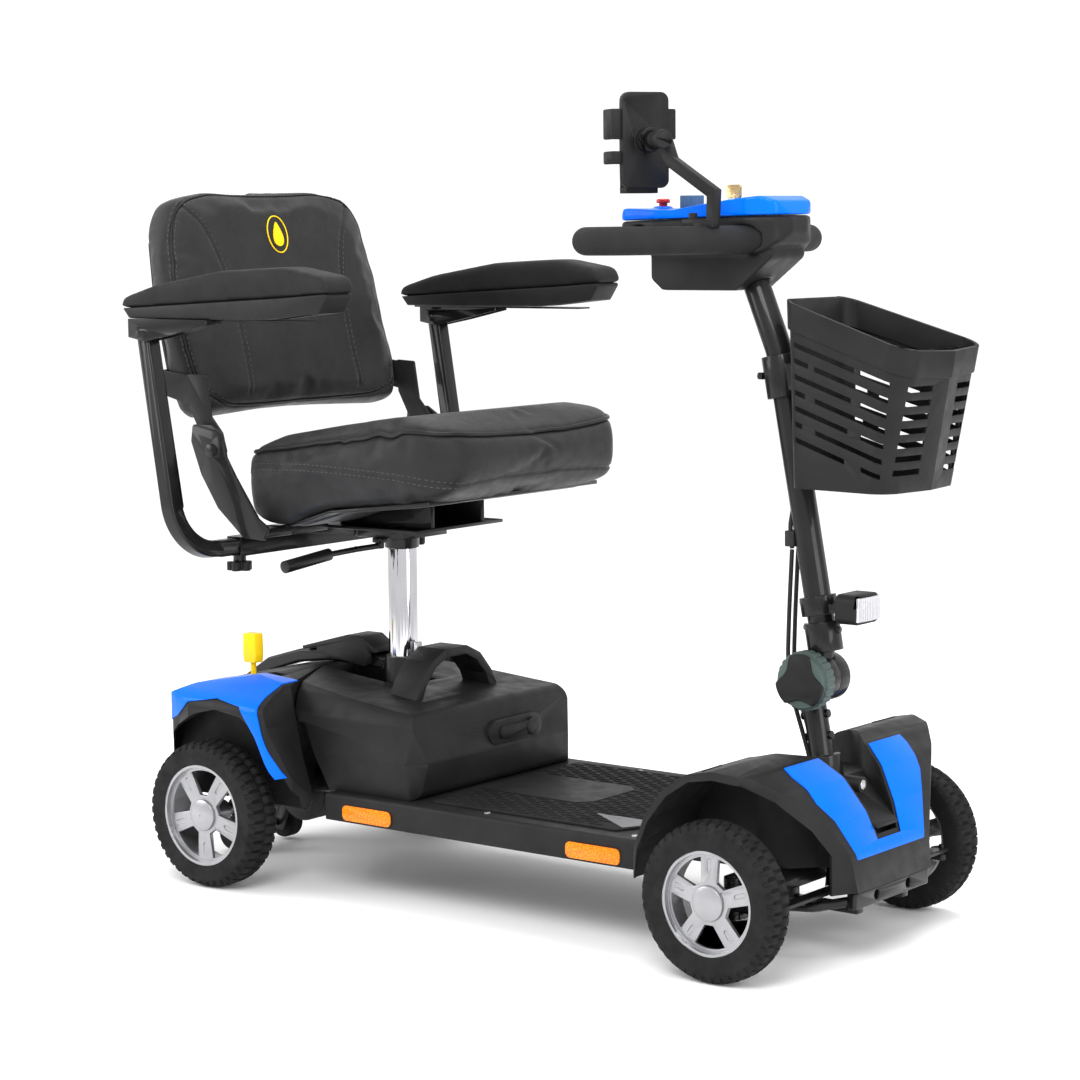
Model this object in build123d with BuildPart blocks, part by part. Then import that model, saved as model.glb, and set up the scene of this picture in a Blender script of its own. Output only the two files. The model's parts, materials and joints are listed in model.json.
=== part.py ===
"""Four-wheel travel mobility scooter with a swivel seat, folding tiller, lift-off basket and lift-out battery.

Millimetres, +X forward, +Y to the rider's left, +Z up. The floor is z = 0 and the origin is under the middle
of the scooter's bounding box. Places along the scooter are given by fx(), measured forward of the rear axle.
"""
import os
from math import cos, radians, sin

from build123d import *

os.makedirs("parts", exist_ok=True)

# ---------------------------------------------------------------- driving dimensions
WHEELBASE = 943.0
NOSE_REACH = 1160.0  # front of the basket, forward of the rear axle
TAIL_REACH = 163.0  # back of the anti-tip wheels, behind the rear axle
REAR_AXLE_X = -(NOSE_REACH - TAIL_REACH) / 2

REAR_TYRE_R = 114.0
REAR_RIM_R = 82.8
REAR_TYRE_WIDTH = 66.0
REAR_WHEEL_Y = 246.0
FRONT_TYRE_R = 110.7
FRONT_RIM_R = 76.7
FRONT_TYRE_WIDTH = 52.0
FRONT_WHEEL_Y = 253.0

DECK_TOP = 165.0
DECK_BOTTOM = 123.0
DECK_HALF = 213.0
SHELL = 3.5  # wall of the moulded covers
CLEAR = 0.3  # gap between pieces that move past each other
RUNNING = 0.05  # radial clearance of a shaft in its bore

POST_X = 181.5  # seat post axis, forward of the rear axle
POST_R = 23.0
SPIGOT_R = 16.0
POST_TOP = 515.0
SPIGOT_TOP = 556.0

STEER_LEAN = 10.4  # degrees, top towards the rider
STEER_X = 950.0
STEER_Z = 285.0
STEM_R = 17.0
KINGPIN_Y = 212.0
HINGE_X = 950.0
HINGE_Z = 381.0
HINGE_R = 34.0
TILLER_R = 19.0

SEAT_PIVOT_X = 23.0
SEAT_PIVOT_Z = 678.0
ARM_TUBE_X = 30.0
ARM_TUBE_Z = 528.0
ARM_Y = 337.0
ARM_PIVOT_X = -24.0
ARM_PIVOT_Z = 860.0


# ---------------------------------------------------------------- helpers
def fx(distance):
    """Frame x of a point this far forward of the rear axle."""
    return REAR_AXLE_X + distance


def finish(builder, name):
    """Label a finished piece and write it out."""
    builder.part.label = name
    export_step(builder.part, f"parts/{name}.step")


def ahead(points):
    """Side-view points (distance forward of the rear axle, height) in frame coordinates."""
    return [(fx(x), z) for x, z in points]


def prism(plane, points, depth, both=False, corner=0.0):
    """A closed outline pushed along its plane's normal, with its outline's corners rounded if asked."""
    with BuildPart(mode=Mode.PRIVATE) as solid:
        with BuildSketch(plane) as outline:
            with BuildLine():
                Polyline(*points, close=True)
            make_face()
            if corner:
                fillet(outline.vertices(), corner)
        extrude(amount=depth, both=both)
    return solid.part


def block(x, y, z):
    """A box from its x range (forward of the rear axle), y range and z range."""
    size = (x[1] - x[0], y[1] - y[0], z[1] - z[0])
    with BuildPart(mode=Mode.PRIVATE) as solid:
        with Locations((fx((x[0] + x[1]) / 2), (y[0] + y[1]) / 2, (z[0] + z[1]) / 2)):
            Box(*size)
    return solid.part


def rod(start, end, radius, bore=0.0):
    """A round bar between two points, hollow if a bore is given."""
    run = Vector(*end) - Vector(*start)
    with BuildPart(mode=Mode.PRIVATE) as solid:
        with BuildSketch(Plane(origin=start, z_dir=run)):
            Circle(radius)
            if bore:
                Circle(bore, mode=Mode.SUBTRACT)
        extrude(amount=run.length)
    return solid.part


def cross_rod(x, z, y_from, y_to, radius, bore=0.0):
    """A round bar lying across the scooter."""
    return rod((fx(x), y_from, z), (fx(x), y_to, z), radius, bore)


def bent_tube(points, bends, radius, bore=0.0):
    """A round tube through the points, its corners bent to the given radii."""
    with BuildPart(mode=Mode.PRIVATE) as solid:
        with BuildLine() as path:
            FilletPolyline(*points, radius=bends)
        with BuildSketch(Plane(origin=path.line @ 0, z_dir=path.line % 0)):
            Circle(radius)
            if bore:
                Circle(bore, mode=Mode.SUBTRACT)
        sweep()
    return solid.part


def band(points, centre, width):
    """A strip along the points, widened outward from a centre."""
    outer = []
    for x, z in points:
        away = Vector(x - centre[0], z - centre[1]).normalized() * width
        outer.append((x + away.X, z + away.Y))
    return points + outer[::-1]


def side_name(side):
    """The rider's side for a sign of y."""
    return "left" if side > 0 else "right"


def steer_point(along, forward=0.0, y=0.0):
    """A point on the steering axis, or this far forward of it, square to the axis."""
    lean = radians(STEER_LEAN)
    return (
        fx(STEER_X) - along * sin(lean) + forward * cos(lean),
        y,
        STEER_Z + along * cos(lean) + forward * sin(lean),
    )


# ---------------------------------------------------------------- wheels
def wheel_plane(x, y, z, side):
    """A plane through the wheel's axis: local x is along the axle, outward, and local y is the radius."""
    return Plane(origin=(fx(x), side * y, z), x_dir=(0, side, 0), z_dir=(side, 0, 0))


def make_tyre(name, x, y, radius, rim_radius, width, side):
    """A solid block-tread tyre body with a centre groove, seated on its rim."""
    half = width / 2
    seat = rim_radius - 5
    profile = [
        (half - 8, seat),
        (half - 8, rim_radius),
        (half - 4, rim_radius),
        (half, rim_radius + 9),
        (half, radius - 15),
        (half - 5, radius - 5),
        (half - 13, radius),
        (3, radius),
        (3, radius - 5),
    ]
    plane = wheel_plane(x, y, radius, side)
    with BuildPart() as tyre:
        with BuildSketch(plane):
            with BuildLine():
                Polyline(*profile, *[(-a, r) for a, r in reversed(profile)], close=True)
            make_face()
        revolve(axis=Axis(plane.origin, (0, 1, 0)))
    finish(tyre, name)


def make_rim(name, x, y, radius, rim_radius, width, side, spoke_up, bore, shaft_inner=None):
    """A five-spoke rim with a hub and cap, one spoke straight up (1) or down (-1). A driven rim carries its half axle."""
    half = width / 2
    seat = rim_radius - 5
    barrel = [
        (half - 8, seat),
        (half - 8, rim_radius),
        (half - 5, rim_radius),
        (half - 5, seat - 4),
        (-(half - 5), seat - 4),
        (-(half - 5), rim_radius),
        (-(half - 8), rim_radius),
        (-(half - 8), seat),
    ]
    disc_back = half - 19
    disc_front = half - 11
    spokes = 5
    window_inner = 31.0
    window_outer = seat - 9
    spoke_angle = -90 * side * spoke_up
    plane = wheel_plane(x, y, radius, side)
    face = Plane(origin=plane.origin + Vector(0, side * disc_front, 0), x_dir=(1, 0, 0), z_dir=(0, side, 0))
    with BuildPart() as rim:
        with BuildSketch(plane):
            with BuildLine():
                Polyline(*barrel, close=True)
            make_face()
            with BuildLine():
                Polyline((disc_back, 0), (disc_back, seat), (disc_front - 3, seat), (disc_front, 24), (disc_front, 0),
                         close=True)
            make_face()
            with BuildLine():
                Polyline((-(half - 10), 0), (-(half - 10), 17), (disc_front, 17), (disc_front, 0), close=True)
            make_face()
            with BuildLine():
                cap_rim = (disc_front, 25)
                cap_shoulder = (disc_front + 4, 24)
                cap_top = (disc_front + 8, 0)
                Line((disc_front, 0), cap_rim)
                Line(cap_rim, cap_shoulder)
                RadiusArc(cap_shoulder, cap_top, side_radius(24, 4))
                Line(cap_top, (disc_front, 0))
            make_face()
        revolve(axis=Axis(plane.origin, (0, 1, 0)))
        with BuildSketch(face):
            for spoke in range(spokes):
                middle = radians(spoke_angle + (spoke + 0.5) * 360 / spokes)
                corners = [Vector(r * cos(middle + turn), r * sin(middle + turn))
                           for r, turn in ((window_inner, -0.23), (window_inner, 0.23), (window_outer, 0.4),
                                           (window_outer, -0.4))]
                with BuildLine():
                    Polyline(corners[3], corners[0], corners[1], corners[2])
                    ThreePointArc(corners[2], (window_outer * cos(middle), window_outer * sin(middle)), corners[3])
                make_face()
        extrude(amount=-(disc_front - disc_back + 1), mode=Mode.SUBTRACT)
        with BuildSketch(face):
            with PolarLocations(window_inner + 0.5 * (seat - window_inner), spokes, start_angle=spoke_angle):
                SlotOverall(0.45 * (seat - window_inner), 6.5)
        extrude(amount=-3, mode=Mode.SUBTRACT)
        if bore:
            add(rod((fx(x), side * (y - half), radius), (fx(x), side * (y + disc_front - 2), radius), bore),
                mode=Mode.SUBTRACT)
        if shaft_inner is not None:
            add(rod((fx(x), side * shaft_inner, radius), (fx(x), side * y, radius), 8.5))
    finish(rim, name)


def side_radius(chord, sagitta):
    """Radius of an arc whose half chord and rise are given, bulging away from the hub."""
    return (chord * chord + sagitta * sagitta) / (2 * sagitta)


for side in (-1, 1):
    end = side_name(side)
    make_tyre(f"rear_tyre_{end}", 0, REAR_WHEEL_Y, REAR_TYRE_R, REAR_RIM_R, REAR_TYRE_WIDTH, side)
    make_rim(f"rear_rim_{end}", 0, REAR_WHEEL_Y, REAR_TYRE_R, REAR_RIM_R, REAR_TYRE_WIDTH, side, -1, 0,
             12.0)
    make_tyre(f"front_tyre_{end}", WHEELBASE, FRONT_WHEEL_Y, FRONT_TYRE_R, FRONT_RIM_R, FRONT_TYRE_WIDTH, side)
    make_rim(f"front_rim_{end}", WHEELBASE, FRONT_WHEEL_Y, FRONT_TYRE_R, FRONT_RIM_R, FRONT_TYRE_WIDTH, side,
             1, 8.0 + RUNNING)

ANTI_TIP_X = -135.0
ANTI_TIP_R = 28.0
ANTI_TIP_Z = 32.0
ANTI_TIP_Y = 60.0
with BuildPart() as anti_tip_wheels:
    for side in (-1, 1):
        add(cross_rod(ANTI_TIP_X, ANTI_TIP_Z, side * (ANTI_TIP_Y - 12), side * (ANTI_TIP_Y + 12), ANTI_TIP_R))
    add(cross_rod(ANTI_TIP_X, ANTI_TIP_Z, -ANTI_TIP_Y, ANTI_TIP_Y, 4.95))
    fillet(anti_tip_wheels.edges().filter_by(GeomType.CIRCLE).filter_by(lambda e: e.radius > 20), 4)
finish(anti_tip_wheels, "anti_tip_wheels")

# ---------------------------------------------------------------- main frame
RAIL_Y = 75.0
RAIL_Z = (130.0, 155.0)
EAR_LOW = (78.0, 86.0)
EAR_HIGH = (128.0, 136.0)
KINGPIN_R = 6.0
BUMPER_ARM_Z = (70.0, 82.0)
with BuildPart() as main_frame:
    for side in (-1, 1):
        add(block((-95, 780), sorted((side * (RAIL_Y - 13), side * (RAIL_Y + 13))), RAIL_Z))
        add(block((-150, -90), sorted((side * 36, side * 42)), (RAIL_Z[0] - 5, RAIL_Z[1])))
        add(prism(Plane.XZ.offset(-side * 39), ahead([(-150, 150), (-90, 150), (-118, 20), (-150, 20)]), 3, both=True,
                  corner=8))
    for x in (-85, 215, 500, 765):
        reach = 195 if x > 0 else RAIL_Y
        add(block((x - 14, x + 14), (-reach, reach), (RAIL_Z[0] + 2, DECK_TOP - SHELL if x > 0 else RAIL_Z[1])))
    add(block((POST_X - 36, POST_X + 22), (-RAIL_Y, RAIL_Y), (RAIL_Z[0], RAIL_Z[1])))
    add(rod((fx(POST_X), 0, RAIL_Z[0]), (fx(POST_X), 0, 345), POST_R + 6))
    add(block((765, 956), (-26, 26), (120, 156)))
    add(block((WHEELBASE - 15, WHEELBASE + 15), (-196, 196), (96, 126)))
    for side in (-1, 1):
        add(block((WHEELBASE - 13, WHEELBASE + 13), sorted((side * 184, side * 196)), (EAR_LOW[0], EAR_HIGH[1])))
        for ear in (EAR_LOW, EAR_HIGH):
            add(block((WHEELBASE - 13, WHEELBASE + 13), sorted((side * 190, side * KINGPIN_Y)), ear))
            add(rod((fx(WHEELBASE), side * KINGPIN_Y, ear[0]), (fx(WHEELBASE), side * KINGPIN_Y, ear[1]), 11))
        add(rod((fx(WHEELBASE), side * KINGPIN_Y, 70), (fx(WHEELBASE), side * KINGPIN_Y, 140), KINGPIN_R + RUNNING),
            mode=Mode.SUBTRACT)
        add(block((WHEELBASE - 12, 1052), sorted((side * 52, side * 68)), BUMPER_ARM_Z))
        add(block((WHEELBASE - 12, WHEELBASE + 6), sorted((side * 52, side * 68)), (BUMPER_ARM_Z[1], 100)))
        add(cross_rod(ANTI_TIP_X, ANTI_TIP_Z, side * 30, side * 46, 4.95 + RUNNING), mode=Mode.SUBTRACT)
    add(rod(steer_point(-150), steer_point(-48), 24))
    add(rod(steer_point(-210), steer_point(-150), 24), mode=Mode.SUBTRACT)
    add(rod(steer_point(-170), steer_point(-30), STEM_R + RUNNING), mode=Mode.SUBTRACT)
    add(rod((fx(POST_X), 0, RAIL_Z[1] + 20), (fx(POST_X), 0, 350), POST_R + RUNNING), mode=Mode.SUBTRACT)
finish(main_frame, "main_frame")

# ---------------------------------------------------------------- transaxle and free-wheel lever
LEVER_Y = -150.0
LEVER_PIVOT_Z = 180.0
with BuildPart() as transaxle:
    add(cross_rod(0, REAR_TYRE_R, -46, 46, 48))
    add(rod((fx(30), 0, REAR_TYRE_R), (fx(138), 0, REAR_TYRE_R), 37))
    for side in (-1, 1):
        add(cross_rod(0, REAR_TYRE_R, side * 40, side * 200, 15))
    add(block((-14, 14), (LEVER_Y - 11, LEVER_Y - 5), (REAR_TYRE_R, LEVER_PIVOT_Z + 12)))
    add(cross_rod(0, REAR_TYRE_R, -205, 205, 8.5 + RUNNING), mode=Mode.SUBTRACT)
    add(cross_rod(0, LEVER_PIVOT_Z, LEVER_Y - 20, LEVER_Y, 5 + RUNNING), mode=Mode.SUBTRACT)
finish(transaxle, "transaxle")

GRIP_LOW = 337.0
GRIP_HIGH = 383.0
with BuildPart() as freewheel_lever:
    add(rod((fx(0), LEVER_Y, LEVER_PIVOT_Z), (fx(0), LEVER_Y, GRIP_HIGH - 6), 4.5))
    add(cross_rod(0, LEVER_PIVOT_Z, LEVER_Y + 5, LEVER_Y - 4.7, 11))
    add(cross_rod(0, LEVER_PIVOT_Z, LEVER_Y + 5, LEVER_Y - 16, 5))
    grip = [(-12, GRIP_LOW), (12, GRIP_LOW), (14, GRIP_LOW + 12), (13, GRIP_HIGH), (-13, GRIP_HIGH), (-14, GRIP_LOW + 12)]
    add(prism(Plane.XZ.offset(-LEVER_Y), ahead(grip), 9, both=True, corner=3))
finish(freewheel_lever, "freewheel_lever")

# ---------------------------------------------------------------- deck
FENDER_BACK = 790.0
WALKWAY_HALF = 118.0
deck_plan = [(204, DECK_HALF), (FENDER_BACK, DECK_HALF), (FENDER_BACK, WALKWAY_HALF), (843, WALKWAY_HALF)]


def mirrored_plan(points):
    """A plan outline symmetric about the scooter's centre line, from its left half."""
    return [(fx(x), y) for x, y in points] + [(fx(x), -y) for x, y in reversed(points)]


with BuildPart() as deck_tray:
    with BuildSketch(Plane.XY.offset(DECK_BOTTOM)) as deck_outline:
        with BuildLine():
            Polyline(*mirrored_plan(deck_plan), close=True)
        make_face()
    extrude(amount=DECK_TOP - DECK_BOTTOM)
    fillet(deck_tray.edges().group_by(Axis.Z)[-1], 6)
    with BuildSketch(Plane.XY.offset(DECK_BOTTOM)):
        with BuildLine():
            Polyline(*mirrored_plan([(200, DECK_HALF - SHELL), (FENDER_BACK - SHELL, DECK_HALF - SHELL),
                                     (FENDER_BACK - SHELL, WALKWAY_HALF - SHELL), (850, WALKWAY_HALF - SHELL)]),
                     close=True)
        make_face()
    extrude(amount=DECK_TOP - DECK_BOTTOM - SHELL, mode=Mode.SUBTRACT)
    add(rod((fx(POST_X), 0, DECK_BOTTOM), (fx(POST_X), 0, DECK_TOP + 1), POST_R + 7), mode=Mode.SUBTRACT)
finish(deck_tray, "deck_tray")

MAT_THICK = 3.0
with BuildPart() as floor_mat:
    with BuildSketch(Plane.XY.offset(DECK_TOP)) as mat_outline:
        with BuildLine():
            Polyline(*mirrored_plan([(386, 182), (728, 182), (764, 108), (764, 60)]), close=True)
        make_face()
        fillet(mat_outline.vertices(), 8)
    extrude(amount=MAT_THICK)
finish(floor_mat, "floor_mat")

REFLECTOR_SPANS = ((240.0, 335.0), (662.0, 757.0))
with BuildPart() as side_reflectors:
    for side in (-1, 1):
        for low, high in REFLECTOR_SPANS:
            with BuildSketch(Plane(origin=(fx((low + high) / 2), side * DECK_HALF, 138), x_dir=(1, 0, 0),
                                   z_dir=(0, side, 0))):
                RectangleRounded(high - low, 23, 8)
            extrude(amount=2.5)
finish(side_reflectors, "side_reflectors")

# ---------------------------------------------------------------- rear cover
REAR_COVER_SIDE = [(-163, 196), (-150, 236), (-110, 280), (-50, 309), (40, 324), (118, 318), (134, 264), (168, 160),
                   (172, 126), (-60, 126), (-120, 150)]
REAR_COVER_SECTION = [(-266, 120), (-266, 290), (-240, 304), (-165, 330), (165, 330), (240, 304), (266, 290),
                      (266, 120)]
REAR_COVER_PLAN = [(-163, 120), (-140, 190), (-80, 250), (-30, 266), (135, 266), (160, 240), (171, 205),
                   (178, 190)]
REAR_ARCH = [(-140, 60), (-130, 160), (-100, 215), (-62, 248), (-15, 271), (27, 281), (80, 274), (117, 249),
             (141, 213), (164, 155), (172, 60)]
ARCH_WALL_Y = 204.0
REAR_COVER_ROUND = 22.0
SECTION_ROUND = 18.0
PLAN_ROUND = 12.0


def rear_cover_solid(grow):
    """The rear cover's filled shape, its skin moved outward by grow (inward when negative)."""
    with BuildPart(mode=Mode.PRIVATE) as solid:
        with BuildSketch(Plane.XZ) as side_view:
            with BuildLine():
                Polyline(*ahead(REAR_COVER_SIDE), close=True)
            make_face()
            fillet(side_view.vertices(), REAR_COVER_ROUND)
            if grow:
                offset(amount=grow, kind=Kind.INTERSECTION)
        extrude(amount=300, both=True)
        with BuildSketch(Plane.YZ.offset(fx(0))) as section:
            with BuildLine():
                Polyline(*REAR_COVER_SECTION, close=True)
            make_face()
            fillet(section.vertices().sort_by(Axis.Y)[2:], SECTION_ROUND)
            if grow:
                offset(amount=grow, kind=Kind.INTERSECTION)
        extrude(amount=400, both=True, mode=Mode.INTERSECT)
        with BuildSketch(Plane.XY.offset(100)) as plan:
            with BuildLine():
                Polyline(*mirrored_plan(REAR_COVER_PLAN), close=True)
            make_face()
            fillet(plan.vertices(), PLAN_ROUND)
            if grow:
                offset(amount=grow, kind=Kind.INTERSECTION)
        extrude(amount=260, mode=Mode.INTERSECT)
    return solid.part


PACK_BAY_PLAN = [(46, 38), (116, 192), (150, 203), (230, 203)]


def bay_wall():
    """The upright wall between the rear cover and the battery bay, cut to the cover's shape."""
    with BuildPart(mode=Mode.PRIVATE) as solid:
        with BuildSketch(Plane.XY.offset(131)) as plan:
            with BuildLine():
                Polyline(*mirrored_plan(PACK_BAY_PLAN), close=True)
            make_face()
            offset(amount=SHELL, kind=Kind.INTERSECTION)
        extrude(amount=250)
        add(prism(Plane.XY.offset(100), mirrored_plan(PACK_BAY_PLAN), 300), mode=Mode.SUBTRACT)
        add(rear_cover_solid(0), mode=Mode.INTERSECT)
    return solid.part


def arch_wall(side):
    """The inner wall of a rear wheel well and its turned lip, cut to the cover's shape."""
    with BuildPart(mode=Mode.PRIVATE) as solid:
        add(prism(Plane.XZ.offset(-side * (ARCH_WALL_Y - 2)), ahead([(-170, 131), (-170, 340), (180, 340), (180, 131)]),
                  1.5, both=True))
        add(prism(Plane.XZ.offset(-side * 256), band(ahead(REAR_ARCH[1:-1]), (fx(40), 130), 8), 9.8, both=True))
        add(rear_cover_solid(0), mode=Mode.INTERSECT)
    return solid.part


with BuildPart() as rear_cover:
    add(rear_cover_solid(0))
    add(rear_cover_solid(-SHELL), mode=Mode.SUBTRACT)
    for side in (-1, 1):
        well = prism(Plane.XZ.offset(-side * (ARCH_WALL_Y + 45)), ahead(REAR_ARCH), 45, both=True)
        add(well, mode=Mode.SUBTRACT)
        add(arch_wall(side))
    add(prism(Plane.XY.offset(100), mirrored_plan(PACK_BAY_PLAN), 300), mode=Mode.SUBTRACT)
    add(bay_wall())
    add(block((-200, 190), (-300, 300), (100, 131)), mode=Mode.SUBTRACT)
    add(block((-50, 66), (LEVER_Y - 8, LEVER_Y + 8), (280, 345)), mode=Mode.SUBTRACT)
    add(cross_rod(0, REAR_TYRE_R, -300, 300, 20), mode=Mode.SUBTRACT)
    add(block((-100, 240), (-90, 90), (100, 163)), mode=Mode.SUBTRACT)
    for side in (-1, 1):
        add(block((-200, -88), sorted((side * 34, side * 44)), (100, 157)), mode=Mode.SUBTRACT)
finish(rear_cover, "rear_cover")

# ---------------------------------------------------------------- front cover
FRONT_COVER_SIDE = [(812, 126), (818, 170), (836, 216), (868, 256), (905, 281), (945, 289), (985, 281), (1018, 254),
                    (1046, 208), (1064, 160), (1072, 108), (1060, 108)]
FRONT_COVER_PLAN = [(812, 122), (812, 266), (940, 266), (975, 250), (1010, 205), (1040, 150), (1064, 104), (1072, 98)]
RECESS_PLAN = [(925, 120), (952, 98), (984, 62), (1058, 26)]
FRONT_COVER_ROUND = 30.0
PEG_END = 1019.0  # front of the lock barrel standing on the console
PEG_Z = 236.0


def front_cover_solid(grow):
    """The front cover's filled shape, its skin moved outward by grow (inward when negative)."""
    with BuildPart(mode=Mode.PRIVATE) as solid:
        with BuildSketch(Plane.XZ) as side_view:
            with BuildLine():
                Polyline(*ahead(FRONT_COVER_SIDE + [(1020, 60), (812, 60)]), close=True)
            make_face()
            fillet(side_view.vertices().filter_by(lambda v: v.Y > 150), FRONT_COVER_ROUND)
            if grow:
                offset(amount=grow, kind=Kind.INTERSECTION)
        extrude(amount=300, both=True)
        with BuildSketch(Plane.XY.offset(50)) as plan:
            with BuildLine():
                Polyline(*mirrored_plan(FRONT_COVER_PLAN), close=True)
            make_face()
            fillet(plan.vertices().filter_by(lambda v: v.X < fx(1070)), PLAN_ROUND)
            if grow:
                offset(amount=grow, kind=Kind.INTERSECTION)
        extrude(amount=300, mode=Mode.INTERSECT)
    return solid.part


def recess_solid(grow, low):
    """The open V between the fenders, above a given height."""
    plan = [(800, 120), *RECESS_PLAN]
    with BuildPart(mode=Mode.PRIVATE) as solid:
        with BuildSketch(Plane.XY.offset(low)):
            with BuildLine():
                Polyline(*mirrored_plan(plan), close=True)
            make_face()
            if grow:
                offset(amount=grow, kind=Kind.INTERSECTION)
        extrude(amount=300)
    return solid.part


CONSOLE = [(848, 165), (905, 236), (975, 240), (1062, 186)]
CONSOLE_UNDER = [(1062, 182), (974, 236), (906, 232), (852, 163), (848, 126), (844, 126), (844, 165)]


def recess_walls():
    """The upright walls round the open V, cut to the cover's own height."""
    with BuildPart(mode=Mode.PRIVATE) as solid:
        add(recess_solid(SHELL, 60))
        add(recess_solid(0, 60), mode=Mode.SUBTRACT)
        add(front_cover_solid(0), mode=Mode.INTERSECT)
    return solid.part


def console_floor():
    """The hump that rises from the deck round the steering stem and falls to the nose."""
    with BuildPart(mode=Mode.PRIVATE) as solid:
        add(prism(Plane.XZ, ahead(CONSOLE + CONSOLE_UNDER), 124, both=True))
        add(recess_solid(1, 60), mode=Mode.INTERSECT)
    return solid.part


FRONT_ARCH = [(818, 60), (818, 126), (824, 168), (842, 210), (873, 248), (909, 271), (945, 277), (979, 270),
              (1009, 245), (1036, 200), (1052, 158), (1058, 120), (1058, 60)]
with BuildPart() as front_cover:
    add(front_cover_solid(0))
    add(front_cover_solid(-SHELL), mode=Mode.SUBTRACT)
    add(recess_solid(0, 60), mode=Mode.SUBTRACT)
    add(recess_walls())
    for side in (-1, 1):
        add(prism(Plane.XZ.offset(-side * 230), ahead(FRONT_ARCH), 100, both=True), mode=Mode.SUBTRACT)
    add(console_floor())
    add(block((800, 1100), (-300, 300), (40, 108)), mode=Mode.SUBTRACT)
    add(block((800, 1030), (-300, 300), (40, 127)), mode=Mode.SUBTRACT)
    add(rod(steer_point(-160), steer_point(40), 30), mode=Mode.SUBTRACT)
    add(block((800, 962), (-27, 27), (100, 157)), mode=Mode.SUBTRACT)
    add(rod((fx(PEG_END - 29), 0, PEG_Z), (fx(PEG_END), 0, PEG_Z), 11))
finish(front_cover, "front_cover")

# ---------------------------------------------------------------- coloured trim
REAR_TRIM_SIDE = [(-150, 250), (-96, 330), (104, 330), (112, 300), (126, 250), (150, 196), (156, 186), (144, 184),
                  (112, 246), (78, 290), (24, 297), (-30, 288), (-62, 262), (-90, 250)]
FRONT_TRIM_SIDE = [(978, 300), (1080, 300), (1080, 152), (1050, 152)]
FRONT_TRIM_PLAN = [(976, 152), (1000, 152), (1030, 138), (1066, 88), (1076, 60)]
FRONT_TRIM_NOTCH = [(900, 125), (930, 122), (957, 101), (988, 66), (1062, 31)]
TRIM_THICK = 1.6


def cover_skin(grown, filled):
    """A thin skin lying on a cover."""
    with BuildPart(mode=Mode.PRIVATE) as solid:
        add(grown)
        add(filled, mode=Mode.SUBTRACT)
    return solid.part


rear_skin = cover_skin(rear_cover_solid(TRIM_THICK), rear_cover_solid(0))
front_skin = cover_skin(front_cover_solid(TRIM_THICK), front_cover_solid(0))


def rear_trim(side):
    """The coloured panel over one rear arch."""
    with BuildPart(mode=Mode.PRIVATE) as solid:
        add(rear_skin)
        add(prism(Plane.XZ.offset(-side * 217), ahead(REAR_TRIM_SIDE), 53, both=True), mode=Mode.INTERSECT)
    return solid.part


def front_trim():
    """The coloured V over the nose."""
    with BuildPart(mode=Mode.PRIVATE) as solid:
        add(front_skin)
        add(prism(Plane.XZ, ahead(FRONT_TRIM_SIDE), 200, both=True), mode=Mode.INTERSECT)
        add(prism(Plane.XY.offset(100), mirrored_plan(FRONT_TRIM_PLAN), 300), mode=Mode.INTERSECT)
        add(prism(Plane.XY.offset(100), mirrored_plan(FRONT_TRIM_NOTCH), 300), mode=Mode.SUBTRACT)
    return solid.part


with BuildPart() as trim_panels:
    add(rear_trim(-1))
    add(rear_trim(1))
    add(front_trim())
finish(trim_panels, "trim_panels")

# ---------------------------------------------------------------- nose bumper and fasteners
with BuildPart() as front_bumper:
    add(block((1053, 1068), (-99, 99), (84, 107)))
    fillet(front_bumper.edges().filter_by(Axis.Z), 5)
    for y in (-42, 42):
        add(rod((fx(1040), y, 96), (fx(1080), y, 96), 6.5), mode=Mode.SUBTRACT)
    for side in (-1, 1):
        add(bent_tube([(fx(962), side * 150, 88), (fx(1020), side * 128, 88), (fx(1058), side * 84, 94)], 30, 7))
    add(block((1034, 1056), (-70, 70), (82.2, 90)))
finish(front_bumper, "front_bumper")

with BuildPart() as fasteners:
    add(rod((fx(PEG_END), 0, PEG_Z), (fx(PEG_END + 1.5), 0, PEG_Z), 7))
    for side in (-1, 1):
        for x in (500, 765):
            add(rod((fx(x), side * 189, 150), (fx(x), side * 189, DECK_TOP + 1.2), 5))
    add(block((POST_X + 27.5, POST_X + 32), (-7, 7), (325, 368)))
finish(fasteners, "fasteners")

# ---------------------------------------------------------------- rear handle and frame latch
HANDLE_SIDE = [(-168, 250), (-150, 286), (-100, 318), (-30, 338), (40, 346), (118, 344), (153.5, 340), (153.5, 320),
               (118, 322), (40, 325), (-30, 316), (-92, 297), (-128, 270), (-138, 240)]
with BuildPart() as rear_handle:
    add(prism(Plane.XZ, ahead(HANDLE_SIDE), 15, both=True))
    fillet(rear_handle.edges().filter_by(Axis.Y, reverse=True).group_by(Axis.Y)[0], 5)
    fillet(rear_handle.edges().filter_by(Axis.Y, reverse=True).group_by(Axis.Y)[-1], 5)
    add(cross_rod(126, 334, -30, 30, 4 + RUNNING), mode=Mode.SUBTRACT)
finish(rear_handle, "rear_handle")

LATCH_SIDE = [(-12, 346), (40, 360), (86, 372), (116, 372), (140, 356), (142, 347), (118, 347), (40, 349), (-10, 341)]
with BuildPart() as latch_lever:
    add(prism(Plane.XZ, ahead(LATCH_SIDE), 26, both=True))
    for side in (-1, 1):
        add(prism(Plane.XZ.offset(-side * 23), ahead([(20, 352), (130, 352), (134, 330), (120, 324), (20, 338)]), 3,
                  both=True))
    add(cross_rod(126, 334, -26, 26, 4))
finish(latch_lever, "latch_lever")

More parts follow.
